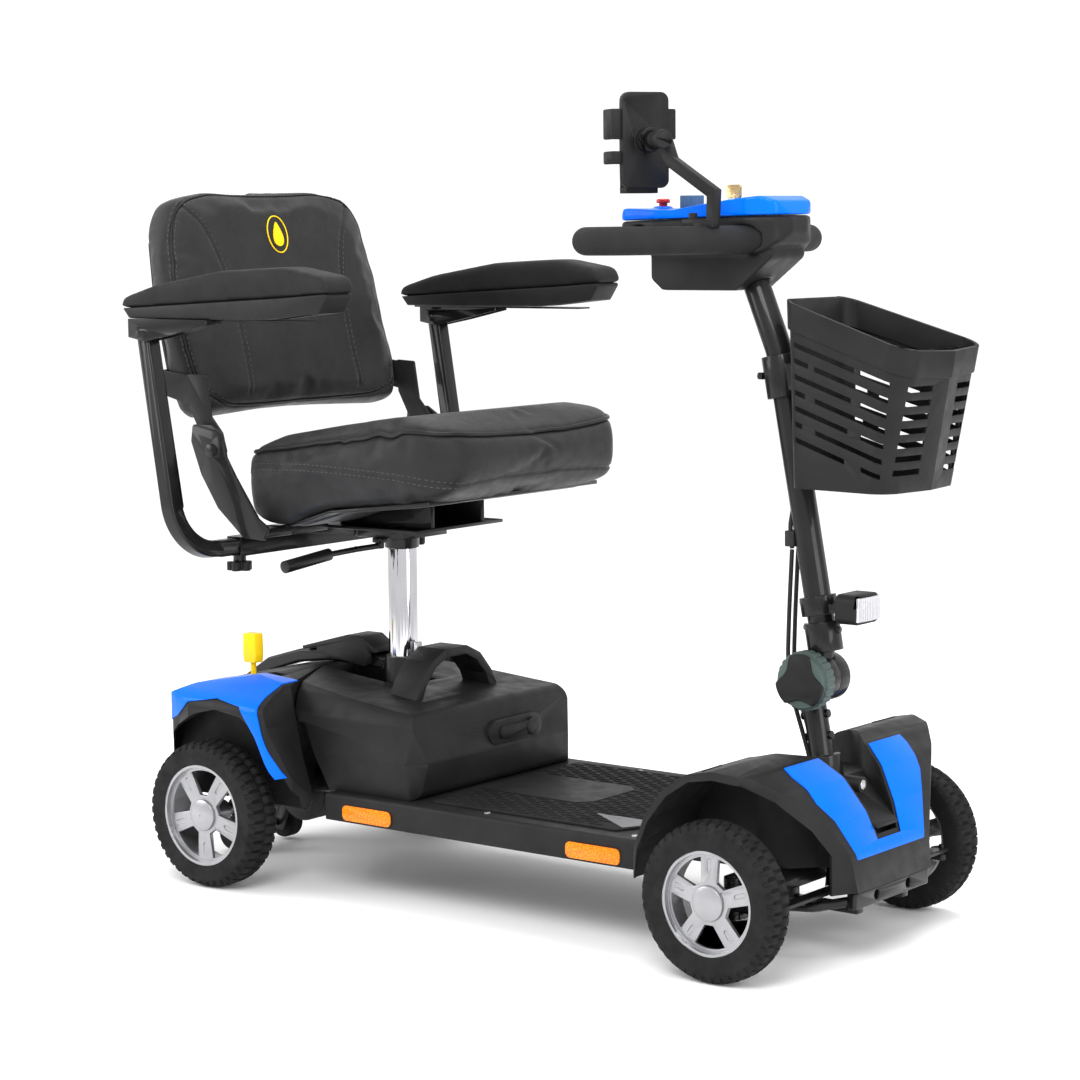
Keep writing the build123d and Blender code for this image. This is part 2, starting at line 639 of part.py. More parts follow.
# ---------------------------------------------------------------- battery pack
PACK_SIDE = [(52, 264), (52, 322), (120, 313), (353, 290), (374, 219), (366, DECK_TOP + CLEAR),
             (196, DECK_TOP + CLEAR), (144, 262)]
PACK_SECTION = [(-194, 150), (-197, 219), (-187, 276), (-166, 304), (-120, 330), (120, 330), (166, 304), (187, 276),
                (197, 219), (194, 150)]
PACK_PLAN = [(50, 43), (120, 186), (152, 198), (352, 198), (376, 168)]
PACK_SEAM = 219.0
PACK_ROUND = 16.0
POST_NOTCH = (214.0, 42.0)


def pack_solid(grow):
    """The battery pack's filled shape, its faces moved outward by grow."""
    with BuildPart(mode=Mode.PRIVATE) as solid:
        with BuildSketch(Plane.XZ) as side_view:
            with BuildLine():
                Polyline(*ahead(PACK_SIDE), close=True)
            make_face()
            fillet(side_view.vertices().filter_by(lambda v: v.X > fx(300)), PACK_ROUND)
            if grow:
                offset(amount=grow, kind=Kind.INTERSECTION)
        extrude(amount=300, both=True)
        with BuildSketch(Plane.YZ.offset(fx(0))) as section:
            with BuildLine():
                Polyline(*PACK_SECTION, close=True)
            make_face()
            fillet(section.vertices().filter_by(lambda v: v.Y > 200), PACK_ROUND)
            if grow:
                offset(amount=grow, kind=Kind.INTERSECTION)
        extrude(amount=500, both=True, mode=Mode.INTERSECT)
        with BuildSketch(Plane.XY.offset(100)) as plan:
            with BuildLine():
                Polyline(*mirrored_plan(PACK_PLAN), close=True)
            make_face()
            fillet(plan.vertices().filter_by(lambda v: v.X > fx(300)), PACK_ROUND)
            if grow:
                offset(amount=grow, kind=Kind.INTERSECTION)
        extrude(amount=300, mode=Mode.INTERSECT)
        add(block((0, POST_NOTCH[0] - grow), (-POST_NOTCH[1] + grow, POST_NOTCH[1] - grow), (100, 400)),
            mode=Mode.SUBTRACT)
    return solid.part


GRAB_OUTER = [(-98, 296), (-84, 322), (-58, 351), (-26, 366), (26, 366), (58, 351), (84, 322), (98, 296)]
GRAB_INNER = [(-84, 290), (-72, 316), (-50, 340), (-24, 353), (24, 353), (50, 340), (72, 316), (84, 290)]
with BuildPart() as battery_lid:
    add(pack_solid(0))
    add(pack_solid(-SHELL), mode=Mode.SUBTRACT)
    add(block((0, 400), (-250, 250), (100, PACK_SEAM)), mode=Mode.SUBTRACT)
    add(prism(Plane.YZ.offset(fx(262)), GRAB_OUTER, 27, both=True))
    add(prism(Plane.YZ.offset(fx(262)), GRAB_INNER, 40, both=True), mode=Mode.SUBTRACT)
    add(prism(Plane.XZ, ahead([(222, 303), (302, 295.2), (302, 291), (222, 299)]), 96, both=True))
    with BuildSketch(Plane.YZ.offset(fx(364))):
        with Locations((40, 241)):
            SlotOverall(128, 40)
    extrude(amount=9)
finish(battery_lid, "battery_lid")

with BuildPart() as battery_tub:
    add(pack_solid(0))
    add(pack_solid(-SHELL), mode=Mode.SUBTRACT)
    add(block((0, 400), (-250, 250), (PACK_SEAM - 0.05, 400)), mode=Mode.SUBTRACT)
finish(battery_tub, "battery_tub")

with BuildPart() as battery_cells:
    for side in (-1, 1):
        add(block((222, 358), sorted((side * 14, side * 168)), (DECK_TOP + 6, 262)))
    fillet(battery_cells.edges(), 3)
finish(battery_cells, "battery_cells")

PORT_Y = 78.0
PORT_Z = 241.0
PORT_FACE = 373.3
with BuildPart() as charge_port_cover:
    add(rod((fx(PORT_FACE), PORT_Y, PORT_Z), (fx(PORT_FACE + 4), PORT_Y, PORT_Z), 14))
    with BuildSketch(Plane.YZ.offset(fx(PORT_FACE))):
        with Locations((PORT_Y - 36, PORT_Z)):
            SlotOverall(88, 20)
    extrude(amount=3)
finish(charge_port_cover, "charge_port_cover")

# ---------------------------------------------------------------- seat post and seat frame
with BuildPart() as seat_post:
    add(rod((fx(POST_X), 0, RAIL_Z[1] + 30), (fx(POST_X), 0, POST_TOP), POST_R))
    add(rod((fx(POST_X), 0, POST_TOP), (fx(POST_X), 0, SPIGOT_TOP), SPIGOT_R))
    add(rod((fx(POST_X), 0, RAIL_Z[1] + 30), (fx(POST_X), 0, POST_TOP - 12), 0.86 * POST_R), mode=Mode.SUBTRACT)
finish(seat_post, "seat_post")

RECEIVER_HALF = 15.0
RECEIVER_END = 218.0
ARM_TUBE_HALF = 12.5
SEAT_PLATE_Z = 551.5
LOCK_BOSS_Y = 206.0
SWIVEL_PIVOT = (fx(186), -58.0, 523.0)
with BuildPart() as seat_frame:
    add(rod((fx(POST_X), 0, POST_TOP + CLEAR), (fx(POST_X), 0, SEAT_PLATE_Z), SPIGOT_R + 11))
    add(block((105, 300), (-105, 105), (SEAT_PLATE_Z, SEAT_PLATE_Z + 5)))
    add(block((135, 230), (-52, 52), (SEAT_PLATE_Z - 18, SEAT_PLATE_Z)))
    add(block((150, 212), (-44, 44), (SEAT_PLATE_Z - 30, SEAT_PLATE_Z - 4)), mode=Mode.SUBTRACT)
    add(rod((fx(POST_X), 0, POST_TOP + CLEAR), (fx(POST_X), 0, SEAT_PLATE_Z), SPIGOT_R + 11))
    add(block((ARM_TUBE_X - RECEIVER_HALF, ARM_TUBE_X + RECEIVER_HALF), (-RECEIVER_END, RECEIVER_END),
              (ARM_TUBE_Z - RECEIVER_HALF, ARM_TUBE_Z + RECEIVER_HALF)))
    for side in (-1, 1):
        add(block((ARM_TUBE_X - 12, 150), sorted((side * 70, side * 76)), (ARM_TUBE_Z + 10, SEAT_PLATE_Z + 5)))
        rib = [(108, 556), (134, 562.6), (160, 568.5), (216, 586.5), (296, 595.6), (296, 556)]
        add(prism(Plane.XZ.offset(-side * 60), ahead(rib), 4, both=True))
        add(rod((fx(ARM_TUBE_X), side * LOCK_BOSS_Y, ARM_TUBE_Z - RECEIVER_HALF - 9),
                (fx(ARM_TUBE_X), side * LOCK_BOSS_Y, ARM_TUBE_Z - 10), 10))
    add(block((ARM_TUBE_X - ARM_TUBE_HALF - 0.2, ARM_TUBE_X + ARM_TUBE_HALF + 0.2), (-230, 230),
              (ARM_TUBE_Z - ARM_TUBE_HALF - 0.2, ARM_TUBE_Z + ARM_TUBE_HALF + 0.2)), mode=Mode.SUBTRACT)
    for side in (-1, 1):
        add(rod((fx(ARM_TUBE_X), side * LOCK_BOSS_Y, ARM_TUBE_Z - 30), (fx(ARM_TUBE_X), side * LOCK_BOSS_Y, ARM_TUBE_Z),
                4 + RUNNING), mode=Mode.SUBTRACT)
    add(rod((fx(POST_X), 0, POST_TOP), (fx(POST_X), 0, SPIGOT_TOP + 1), SPIGOT_R + RUNNING), mode=Mode.SUBTRACT)
    add(block((176, 196), (-64, -50), (528, 535)))
    add(rod((*SWIVEL_PIVOT[:2], 520), (*SWIVEL_PIVOT[:2], 540), 3 + RUNNING), mode=Mode.SUBTRACT)
finish(seat_frame, "seat_frame")

with BuildPart() as swivel_lever:
    lever_path = [SWIVEL_PIVOT, (fx(184), -110, 522.5), (fx(181), -172, 520)]
    for start, stop in zip(lever_path, lever_path[1:]):
        add(rod(start, stop, 4.5))
        add(rod(stop, (stop[0], stop[1] - 0.5, stop[2]), 4.5))
    add(rod((fx(181), -168, 520.4), (fx(176), -262, 510), 9.5))
    add(rod((*SWIVEL_PIVOT[:2], 519), (*SWIVEL_PIVOT[:2], 527.7), 7))
    add(rod((*SWIVEL_PIVOT[:2], 520), (*SWIVEL_PIVOT[:2], 534), 3))
finish(swivel_lever, "swivel_lever")

# ---------------------------------------------------------------- seat
CUSHION_HALF = 234.0
CUSHION_SIDE = [(62, 580), (56, 664), (72, 683), (103, 692), (222, 713), (330, 729), (395, 735), (436, 728),
                (460, 702), (462, 655), (440, 622), (374, 611), (216, 593), (134, 567), (99, 563)]
with BuildPart() as seat_cushion:
    add(prism(Plane.XZ, ahead(CUSHION_SIDE), CUSHION_HALF, both=True))
    with BuildSketch(Plane.XY.offset(500)) as cushion_plan:
        with BuildLine():
            Polyline(*mirrored_plan([(48, CUSHION_HALF - 6), (300, CUSHION_HALF), (420, CUSHION_HALF - 8),
                                     (470, CUSHION_HALF - 52)]), close=True)
        make_face()
        fillet(cushion_plan.vertices(), 28)
    extrude(amount=300, mode=Mode.INTERSECT)
finish(seat_cushion, "seat_cushion")

PAN_SIDE = [(86, 563), (100, 562.5), (134, 566.5), (216, 592.5), (374, 610.5), (410, 615), (410, 609), (374, 605),
            (216, 587), (160, 569), (134, 563.1), (86, 557)]
BRACKET_LOW = [(-16, 716), (24, 716), (44, 704), (52, 668), (70, 640), (116, 578), (136, 566), (128, 546), (86, 548),
               (34, 590), (0, 640), (-20, 690)]
BRACKET_Y = 247.0
with BuildPart() as seat_shell:
    add(prism(Plane.XZ, ahead(PAN_SIDE), 205, both=True))
    for side in (-1, 1):
        add(prism(Plane.XZ.offset(-side * (BRACKET_Y + 5)), ahead(BRACKET_LOW), 3, both=True, corner=5))
        add(prism(Plane.XZ.offset(-side * 223), ahead([(88, 562), (126, 562), (126, 549), (88, 549)]), 32, both=True))
        add(block((90, 124), sorted((side * 106, side * 200)), (549, 562)))
        add(cross_rod(SEAT_PIVOT_X, SEAT_PIVOT_Z, side * (BRACKET_Y + 10), side * (BRACKET_Y - 14), 6))
        add(cross_rod(SEAT_PIVOT_X, SEAT_PIVOT_Z, side * (BRACKET_Y + 8), side * (BRACKET_Y + 12), 10))
finish(seat_shell, "seat_shell")

BACK_LEAN = radians(14.6)
BACK_FOOT = (-12.0, 738.0)
BACK_THICK = 66.0
BACK_HEIGHT = 342.0
back_plane = Plane(origin=(fx(BACK_FOOT[0]), 0, BACK_FOOT[1]), x_dir=(0, 1, 0),
                   z_dir=(cos(BACK_LEAN), 0, sin(BACK_LEAN)))
BACK_OUTLINE = [(-226, 0), (226, 0), (240, 60), (236, 200), (222, 290), (196, 328), (120, 341), (-120, 341),
                (-196, 328), (-222, 290), (-236, 200), (-240, 60)]
with BuildPart() as back_cushion:
    with BuildSketch(back_plane) as back_outline:
        with BuildLine():
            Polyline(*BACK_OUTLINE, close=True)
        make_face()
        fillet(back_outline.vertices(), 14)
    extrude(amount=-BACK_THICK)
    chamfer(back_cushion.faces().sort_by(Axis.X)[-1].edges(), 10)
finish(back_cushion, "back_cushion")

BRACKET_HIGH = [(-8, 700), (10, 656), (34, 656), (44, 676), (36, 704), (14, 728), (4, 790), (-34, 792), (-30, 740)]
with BuildPart() as back_shell:
    with BuildSketch(back_plane.offset(-BACK_THICK - 0.2)) as shell_outline:
        with BuildLine():
            Polyline(*[(0.93 * y, 8 + 0.93 * z) for y, z in BACK_OUTLINE], close=True)
        make_face()
        fillet(shell_outline.vertices(), 14)
    extrude(amount=-6)
    for side in (-1, 1):
        add(prism(Plane.XZ.offset(-side * (BRACKET_Y - 3.5)), ahead(BRACKET_HIGH), 2.5, both=True, corner=4))
        shoulder = [(-104, 798), (-102, 762), (-32, 745), (-6, 760), (-4, 788), (-32, 790)]
        add(prism(Plane.XZ.offset(-side * (BRACKET_Y - 3.5)), ahead(shoulder), 2.5, both=True))
        add(block((-104, -96), sorted((side * 190, side * (BRACKET_Y - 1))), (762, 796)))
        add(cross_rod(SEAT_PIVOT_X, SEAT_PIVOT_Z, side * (BRACKET_Y - 20), side * (BRACKET_Y + 20), 6 + RUNNING),
            mode=Mode.SUBTRACT)
finish(back_shell, "back_shell")

# ---------------------------------------------------------------- armrests
PAD_SIDE = [(-66, 896), (-56, 913), (9, 930), (134, 949), (263, 955), (340, 943), (351, 923), (333, 891), (232, 881),
            (90, 880), (-51, 880)]
PAD_HALF = 30.0
CHANNEL_TOP = 879.5
CHANNEL_FLOOR = 877.0
PIVOT_R = 4.0
UPRIGHT_TOP = 869.0
LOCK_PIN_GAP = 2.0  # a loosened lock pin stands off its tube
ARM_BEND_Y = 252.0
for side in (-1, 1):
    end = side_name(side)
    with BuildPart() as arm_tube:
        with BuildLine() as arm_path:
            FilletPolyline((fx(ARM_TUBE_X), side * ARM_BEND_Y, ARM_TUBE_Z), (fx(ARM_TUBE_X), side * ARM_Y, ARM_TUBE_Z),
                           (fx(ARM_PIVOT_X - 1.3), side * ARM_Y, UPRIGHT_TOP), radius=75)
        with BuildSketch(Plane(origin=arm_path.line @ 0, x_dir=(UPRIGHT_TOP - ARM_TUBE_Z, 0,
                                                                ARM_TUBE_X - ARM_PIVOT_X + 1.3),
                               z_dir=arm_path.line % 0)):
            RectangleRounded(2 * ARM_TUBE_HALF, 2 * ARM_TUBE_HALF, 4)
        sweep()
        with BuildSketch(Plane.XZ.offset(-side * 100)):
            with Locations((fx(ARM_TUBE_X), ARM_TUBE_Z)):
                RectangleRounded(2 * ARM_TUBE_HALF, 2 * ARM_TUBE_HALF, 4)
        extrude(amount=-side * (ARM_BEND_Y + 4 - 100))
        add(cross_rod(ARM_PIVOT_X, ARM_PIVOT_Z, side * (ARM_Y - 20), side * (ARM_Y + 20), PIVOT_R + RUNNING),
            mode=Mode.SUBTRACT)
    finish(arm_tube, f"arm_tube_{end}")

    with BuildPart() as arm_pad:
        add(prism(Plane.XZ.offset(-side * (ARM_Y - 17)), ahead(PAD_SIDE), PAD_HALF, both=True))
        fillet(arm_pad.edges().filter_by(GeomType.LINE).filter_by(Axis.Y, reverse=True), 6)
        add(block((-46, 300), sorted((side * (ARM_Y - 32), side * (ARM_Y - 2))), (CHANNEL_FLOOR, CHANNEL_TOP)))
        channel_side = [(-48, 852), (-14, 846), (40, 856), (114, 872), (114, CHANNEL_TOP), (-48, CHANNEL_TOP)]
        for face in (-1, 1):
            centre = side * ARM_Y + face * (ARM_TUBE_HALF + 1.9)
            add(prism(Plane.XZ.offset(-centre), ahead(channel_side), 1.5, both=True))
        add(block((-48, 114), sorted((side * ARM_Y - 15.9, side * ARM_Y + 15.9)), (CHANNEL_FLOOR, CHANNEL_TOP)))
        add(cross_rod(ARM_PIVOT_X, ARM_PIVOT_Z, side * ARM_Y - 17, side * ARM_Y + 17, PIVOT_R))
        for face in (-1, 1):
            add(cross_rod(ARM_PIVOT_X, ARM_PIVOT_Z, side * ARM_Y + face * 15.9, side * ARM_Y + face * 21, 8))
    finish(arm_pad, f"arm_pad_{end}")

    with BuildPart() as arm_knob:
        add(rod((fx(ARM_TUBE_X), side * LOCK_BOSS_Y, 490), (fx(ARM_TUBE_X), side * LOCK_BOSS_Y, 503.5), 13))
        for lobe in range(5):
            turn = radians(72 * lobe)
            centre = (fx(ARM_TUBE_X) + 13 * cos(turn), side * LOCK_BOSS_Y + 13 * sin(turn))
            add(rod((*centre, 490), (*centre, 503.5), 7))
        add(rod((fx(ARM_TUBE_X), side * LOCK_BOSS_Y, 500), (fx(ARM_TUBE_X), side * LOCK_BOSS_Y,
                 ARM_TUBE_Z - ARM_TUBE_HALF - LOCK_PIN_GAP), 4))
    finish(arm_knob, f"arm_knob_{end}")

# ---------------------------------------------------------------- steering
PITMAN_LOW = -206.0
PITMAN_HIGH = -197.0
PITMAN_REACH = 40.0
HINGE_BOLT_R = 6.0
steer_axis = (-sin(radians(STEER_LEAN)), 0, cos(radians(STEER_LEAN)))
steer_forward = (cos(radians(STEER_LEAN)), 0, sin(radians(STEER_LEAN)))
with BuildPart() as steering_stem:
    add(rod(steer_point(PITMAN_LOW), steer_point(80), STEM_R))
    add(prism(Plane(origin=steer_point(PITMAN_LOW), x_dir=steer_forward, z_dir=steer_axis),
              [(-17, -12), (8, -15), (PITMAN_REACH + 7, -8), (PITMAN_REACH + 7, 8), (8, 15), (-17, 12)],
              PITMAN_HIGH - PITMAN_LOW, corner=4))
    add(rod(steer_point(PITMAN_HIGH - 1, PITMAN_REACH), steer_point(-181, PITMAN_REACH), 4))
    add(rod(steer_point(-160), steer_point(-150.3), 22))
    add(rod(steer_point(-47.7), steer_point(-15), 26))
    for along in (12.2, 42.7):
        add(rod(steer_point(along, -22), steer_point(along, 22), 6))
    add(cross_rod(HINGE_X, HINGE_Z, -60, 0.4, HINGE_R + 0.6), mode=Mode.SUBTRACT)
    add(cross_rod(HINGE_X, HINGE_Z, 0.4, 25, HINGE_R))
    add(cross_rod(HINGE_X, HINGE_Z, 25, 31, 12))
    add(cross_rod(HINGE_X, HINGE_Z, 10, -45, HINGE_BOLT_R))
finish(steering_stem, "steering_stem")

TIE_ROD_X = 1023.0
TIE_ROD_Z = (103.0, 108.0)
for side in (-1, 1):
    with BuildPart() as knuckle:
        add(rod((fx(WHEELBASE), side * KINGPIN_Y, EAR_LOW[1] + CLEAR), (fx(WHEELBASE), side * KINGPIN_Y,
                 EAR_HIGH[0] - CLEAR), 11))
        add(rod((fx(WHEELBASE), side * KINGPIN_Y, 72), (fx(WHEELBASE), side * KINGPIN_Y, 138), KINGPIN_R))
        add(cross_rod(WHEELBASE, FRONT_TYRE_R, side * KINGPIN_Y, side * 265, 8))
        add(block((WHEELBASE, TIE_ROD_X), sorted((side * (KINGPIN_Y - 7), side * (KINGPIN_Y + 7))), (90, 99)))
        add(rod((fx(TIE_ROD_X), side * KINGPIN_Y, 90), (fx(TIE_ROD_X), side * KINGPIN_Y, 99), 7))
        add(rod((fx(TIE_ROD_X), side * KINGPIN_Y, 95), (fx(TIE_ROD_X), side * KINGPIN_Y, 113), 4))
    finish(knuckle, f"knuckle_{side_name(side)}")

with BuildPart() as tie_rod:
    add(block((TIE_ROD_X - 10, TIE_ROD_X + 10), (-KINGPIN_Y, KINGPIN_Y), TIE_ROD_Z))
    for y in (-KINGPIN_Y, 0, KINGPIN_Y):
        add(rod((fx(TIE_ROD_X - 3), y, TIE_ROD_Z[0]), (fx(TIE_ROD_X - 3), y, TIE_ROD_Z[1]), 13 if y else 17))
    for y, back, front in ((-KINGPIN_Y, 8.8, 4.6), (KINGPIN_Y, 8.8, 4.6), (0, 13.4, 6.2)):
        add(block((TIE_ROD_X - back, TIE_ROD_X + front), (y - 5.2, y + 5.2), (TIE_ROD_Z[0] - 1, TIE_ROD_Z[1] + 1)),
            mode=Mode.SUBTRACT)
finish(tie_rod, "tie_rod")

# ---------------------------------------------------------------- tiller
TILLER_FOOT = (955.0, 440.0)
TILLER_BEND = (883.0, 833.0)
TILLER_TOP = (838.0, 942.0)


def on_tiller(z, forward=0.0, y=0.0):
    """A point level with z on the tiller's straight lower run, or this far forward of it."""
    share = (z - TILLER_FOOT[1]) / (TILLER_BEND[1] - TILLER_FOOT[1])
    return (fx(TILLER_FOOT[0] + share * (TILLER_BEND[0] - TILLER_FOOT[0]) + forward), y, z)


LAMP_PIVOT = (985.0, 480.0)
with BuildPart() as tiller_tube:
    add(bent_tube([(fx(TILLER_FOOT[0]), 0, TILLER_FOOT[1]), (fx(TILLER_BEND[0]), 0, TILLER_BEND[1]),
                   (fx(TILLER_TOP[0]), 0, TILLER_TOP[1])], 120, TILLER_R))
    add(rod(on_tiller(418), on_tiller(459), 25))
    add(rod((fx(HINGE_X + 1), 0, HINGE_Z + 10), on_tiller(440), 17))
    for z in (458 - 8, 485):
        add(rod(on_tiller(z, -29), on_tiller(z, 29), 5))
    add(rod(on_tiller(469), on_tiller(495), 26))
    for side in (-1, 1):
        add(block((960, LAMP_PIVOT[0]), sorted((side * 8, side * 12)), (LAMP_PIVOT[1] - 6, LAMP_PIVOT[1] + 6)))
        add(cross_rod(*LAMP_PIVOT, side * 8, side * 12, 6))
    add(cross_rod(HINGE_X, HINGE_Z, -0.4, 60, HINGE_R + 0.6), mode=Mode.SUBTRACT)
    add(cross_rod(HINGE_X, HINGE_Z, -25, -0.4, HINGE_R))
    add(cross_rod(HINGE_X, HINGE_Z, -30, 0, HINGE_BOLT_R + RUNNING), mode=Mode.SUBTRACT)
    add(cross_rod(*LAMP_PIVOT, -20, 20, 3 + RUNNING), mode=Mode.SUBTRACT)
finish(tiller_tube, "tiller_tube")

with BuildPart() as hinge_knob:
    add(cross_rod(HINGE_X, HINGE_Z, -28, -46, 42))
    add(cross_rod(HINGE_X, HINGE_Z, -46, -54, 37))
    for dent in range(24):
        turn = radians(15 * dent)
        add(cross_rod(HINGE_X + 43.5 * cos(turn), HINGE_Z + 43.5 * sin(turn), -27, -47, 3.2), mode=Mode.SUBTRACT)
    add(cross_rod(HINGE_X, HINGE_Z, -20, -45.2, HINGE_BOLT_R + RUNNING), mode=Mode.SUBTRACT)
finish(hinge_knob, "hinge_knob")

with BuildPart() as headlight:
    with BuildSketch(Plane.YZ.offset(fx(992))):
        with Locations((0, 483)):
            RectangleRounded(66, 42, 12)
    extrude(amount=34)
    with BuildSketch(Plane.YZ.offset(fx(1026))):
        with Locations((0, 483)):
            RectangleRounded(58, 34, 9)
    extrude(amount=3)
    add(block((LAMP_PIVOT[0] - 4, 993), (-7.7, 7.7), (LAMP_PIVOT[1] - 6, LAMP_PIVOT[1] + 6)))
    add(cross_rod(*LAMP_PIVOT, -7.7, 7.7, 6))
    add(cross_rod(*LAMP_PIVOT, -14, 14, 3))
finish(headlight, "headlight")

BRACKET_FACE = 940.7
with BuildPart() as tiller_clamp:
    add(rod(on_tiller(771), on_tiller(829), 27))
    for side in (-1, 1):
        add(block((895, 936), sorted((side * 14, side * 20)), (782, 818)))
        add(rod(on_tiller(800, -24, side * 14), on_tiller(800, -32, side * 14), 5))
    add(block((934.5, BRACKET_FACE), (-20, 20), (780, 820)))
    add(rod(on_tiller(740), on_tiller(860), TILLER_R + RUNNING), mode=Mode.SUBTRACT)
finish(tiller_clamp, "tiller_clamp")

# ---------------------------------------------------------------- basket
RIM_SLOPE = 0.3122
RIM_REAR = (941.0, 909.0)
BASKET_FLOOR = 652.0
BASKET_WALL = 3.0


def rim_z(x):
    """Height of the sloping rim at a distance forward of the rear axle."""
    return RIM_REAR[1] - (x - RIM_REAR[0]) * RIM_SLOPE


def basket_solid(grow, low):
    """The basket's tapering filled shape, moved outward by grow, from a height upward."""
    levels = {BASKET_FLOOR: (945.0, 75.0, 1111.0, 97.0), 930.0: (940.7, 81.5, 1161.0, 108.5)}
    with BuildPart(mode=Mode.PRIVATE) as solid:
        for z, (rear, rear_half, front, front_half) in levels.items():
            with BuildSketch(Plane.XY.offset(z)) as plan:
                with BuildLine():
                    Polyline((fx(rear - grow), rear_half + grow), (fx(front + grow), front_half + grow),
                             (fx(front + 14 + grow), 0), (fx(front + grow), -front_half - grow),
                             (fx(rear - grow), -rear_half - grow), close=True)
                make_face()
                fillet(plan.vertices().sort_by(Axis.X)[0:2], 25 + grow)
                front_corners = plan.vertices().filter_by(
                    lambda v: abs(v.Y) > front_half - 30 and v.X > fx(front - 30))
                fillet(front_corners, 32 + grow)
        loft()
        add(block((900, 1250), (-200, 200), (600, low)), mode=Mode.SUBTRACT)
        add(prism(Plane.XZ, ahead([(900, rim_z(900)), (1250, rim_z(1250)), (1250, 1100), (900, 1100)]), 200, both=True),
            mode=Mode.SUBTRACT)
    return solid.part


SLOT_ROWS = 7
SLOT_FROM = 958.0
SLOT_TO = 1118.0
with BuildPart() as basket:
    add(basket_solid(0, BASKET_FLOOR))
    with BuildPart(mode=Mode.PRIVATE) as rim_band:
        add(basket_solid(3, BASKET_FLOOR))
        low_edge = [(900, rim_z(900) - 38), (1250, rim_z(1250) - 38), (1250, 600), (900, 600)]
        add(prism(Plane.XZ, ahead(low_edge), 200, both=True), mode=Mode.SUBTRACT)
        add(block((900, 950), (-60, 60), (600, 1000)), mode=Mode.SUBTRACT)
    add(rim_band.part)
    add(basket_solid(-BASKET_WALL, BASKET_FLOOR + BASKET_WALL), mode=Mode.SUBTRACT)
    for row in range(SLOT_ROWS):
        drop = 52 + 21.5 * row
        shares = ((0, 0.64), (0.7, 1)) if row % 2 == 0 else ((0, 0.17), (0.22, 1))
        for low, high in shares:
            start = SLOT_FROM + low * (SLOT_TO - SLOT_FROM)
            stop = SLOT_FROM + high * (SLOT_TO - SLOT_FROM) - 3 * row
            add(prism(Plane.XZ, ahead([(start, rim_z(start) - drop), (stop, rim_z(stop) - drop),
                                       (stop, rim_z(stop) - drop - 7), (start, rim_z(start) - drop - 7)]), 150, both=True),
                mode=Mode.SUBTRACT)
        for side in (-1, 1):
            top = rim_z(1150) - 48 - 18.6 * row
            add(block((1095, 1200), sorted((side * 32, side * 82)), (top - 8, top)), mode=Mode.SUBTRACT)
    add(block((930, 943.5), (-12, 12), (820.5, 828)))
    add(block((930, 934), (-12, 12), (802, 828)))
finish(basket, "basket")

# ---------------------------------------------------------------- tiller head
HEAD_PLAN = [(640, 40), (660, 64), (720, 74), (800, 74), (870, 66), (905, 46), (916, 20)]
BASE_SIDE = [(640, 1016), (644, 990), (662, 972), (884, 972), (906, 984), (916, 1000), (915, 1023)]
COVER_SIDE = [(639, 1017), (644, 1028), (662, 1035), (749, 1031.5), (834, 1044), (885, 1050), (905, 1043), (915, 1024)]
BOX_SIDE = [(693, 973), (693, 935), (712, 919), (838, 919), (896, 964), (898, 973)]
LOOP_Z = 990.0
LOOP_R = 19.5
THROTTLE_X = 785.0
SLOT_Z = (978.0, 988.0)
HORN_X = 685.0
DIAL_X = 735.0
KEY_X = 807.0


def head_slab(side_points):
    """A slab of the tiller head: its side view cut to the head's plan."""
    with BuildPart(mode=Mode.PRIVATE) as solid:
        add(prism(Plane.XZ, ahead(side_points), 120, both=True))
        with BuildSketch(Plane.XY.offset(900)) as plan:
            with BuildLine():
                Polyline(*mirrored_plan(HEAD_PLAN), close=True)
            make_face()
            fillet(plan.vertices(), 14)
        extrude(amount=200, mode=Mode.INTERSECT)
    return solid.part


with BuildPart() as handle_loop:
    for side in (-1, 1):
        add(bent_tube([(fx(872), side * 40, LOOP_Z), (fx(835), side * 150, LOOP_Z), (fx(765), side * 222, LOOP_Z),
                       (fx(708), side * 224, LOOP_Z), (fx(688), side * 150, LOOP_Z), (fx(690), side * 45, LOOP_Z)],
                      26, LOOP_R))
finish(handle_loop, "handle_loop")

with BuildPart() as head_base:
    add(head_slab(BASE_SIDE))
    add(prism(Plane.XZ, ahead(BOX_SIDE), 45, both=True))
    with BuildSketch(Plane(origin=(fx(846), 0, 928), z_dir=(-18, 0, 47))):
        Circle(22.5)
    with BuildSketch(Plane(origin=(fx(828), 0, 975), z_dir=(-18, 0, 47))):
        Circle(34)
    loft()
    add(block((THROTTLE_X - 38, THROTTLE_X + 38), (-120, 120), SLOT_Z), mode=Mode.SUBTRACT)
    add(rod((fx(TILLER_TOP[0] + 20), 0, TILLER_TOP[1] - 48.4), (fx(TILLER_TOP[0]), 0, TILLER_TOP[1]),
            TILLER_R + RUNNING), mode=Mode.SUBTRACT)
    add(handle_loop.part, mode=Mode.SUBTRACT)
finish(head_base, "head_base")

with BuildPart() as head_cover:
    add(head_slab(COVER_SIDE))
    add(rod((fx(HORN_X), 0, 1025), (fx(HORN_X), 0, 1038), 13))
    add(rod((fx(KEY_X), 0, 1030), (fx(KEY_X), 0, 1046), 11))
    add(rod((fx(HORN_X), 0, 1020), (fx(HORN_X), 0, 1050), 6 + RUNNING), mode=Mode.SUBTRACT)
    for x in (DIAL_X, KEY_X):
        add(rod((fx(x), 0, 1022), (fx(x), 0, 1060), 3 + RUNNING), mode=Mode.SUBTRACT)
finish(head_cover, "head_cover")

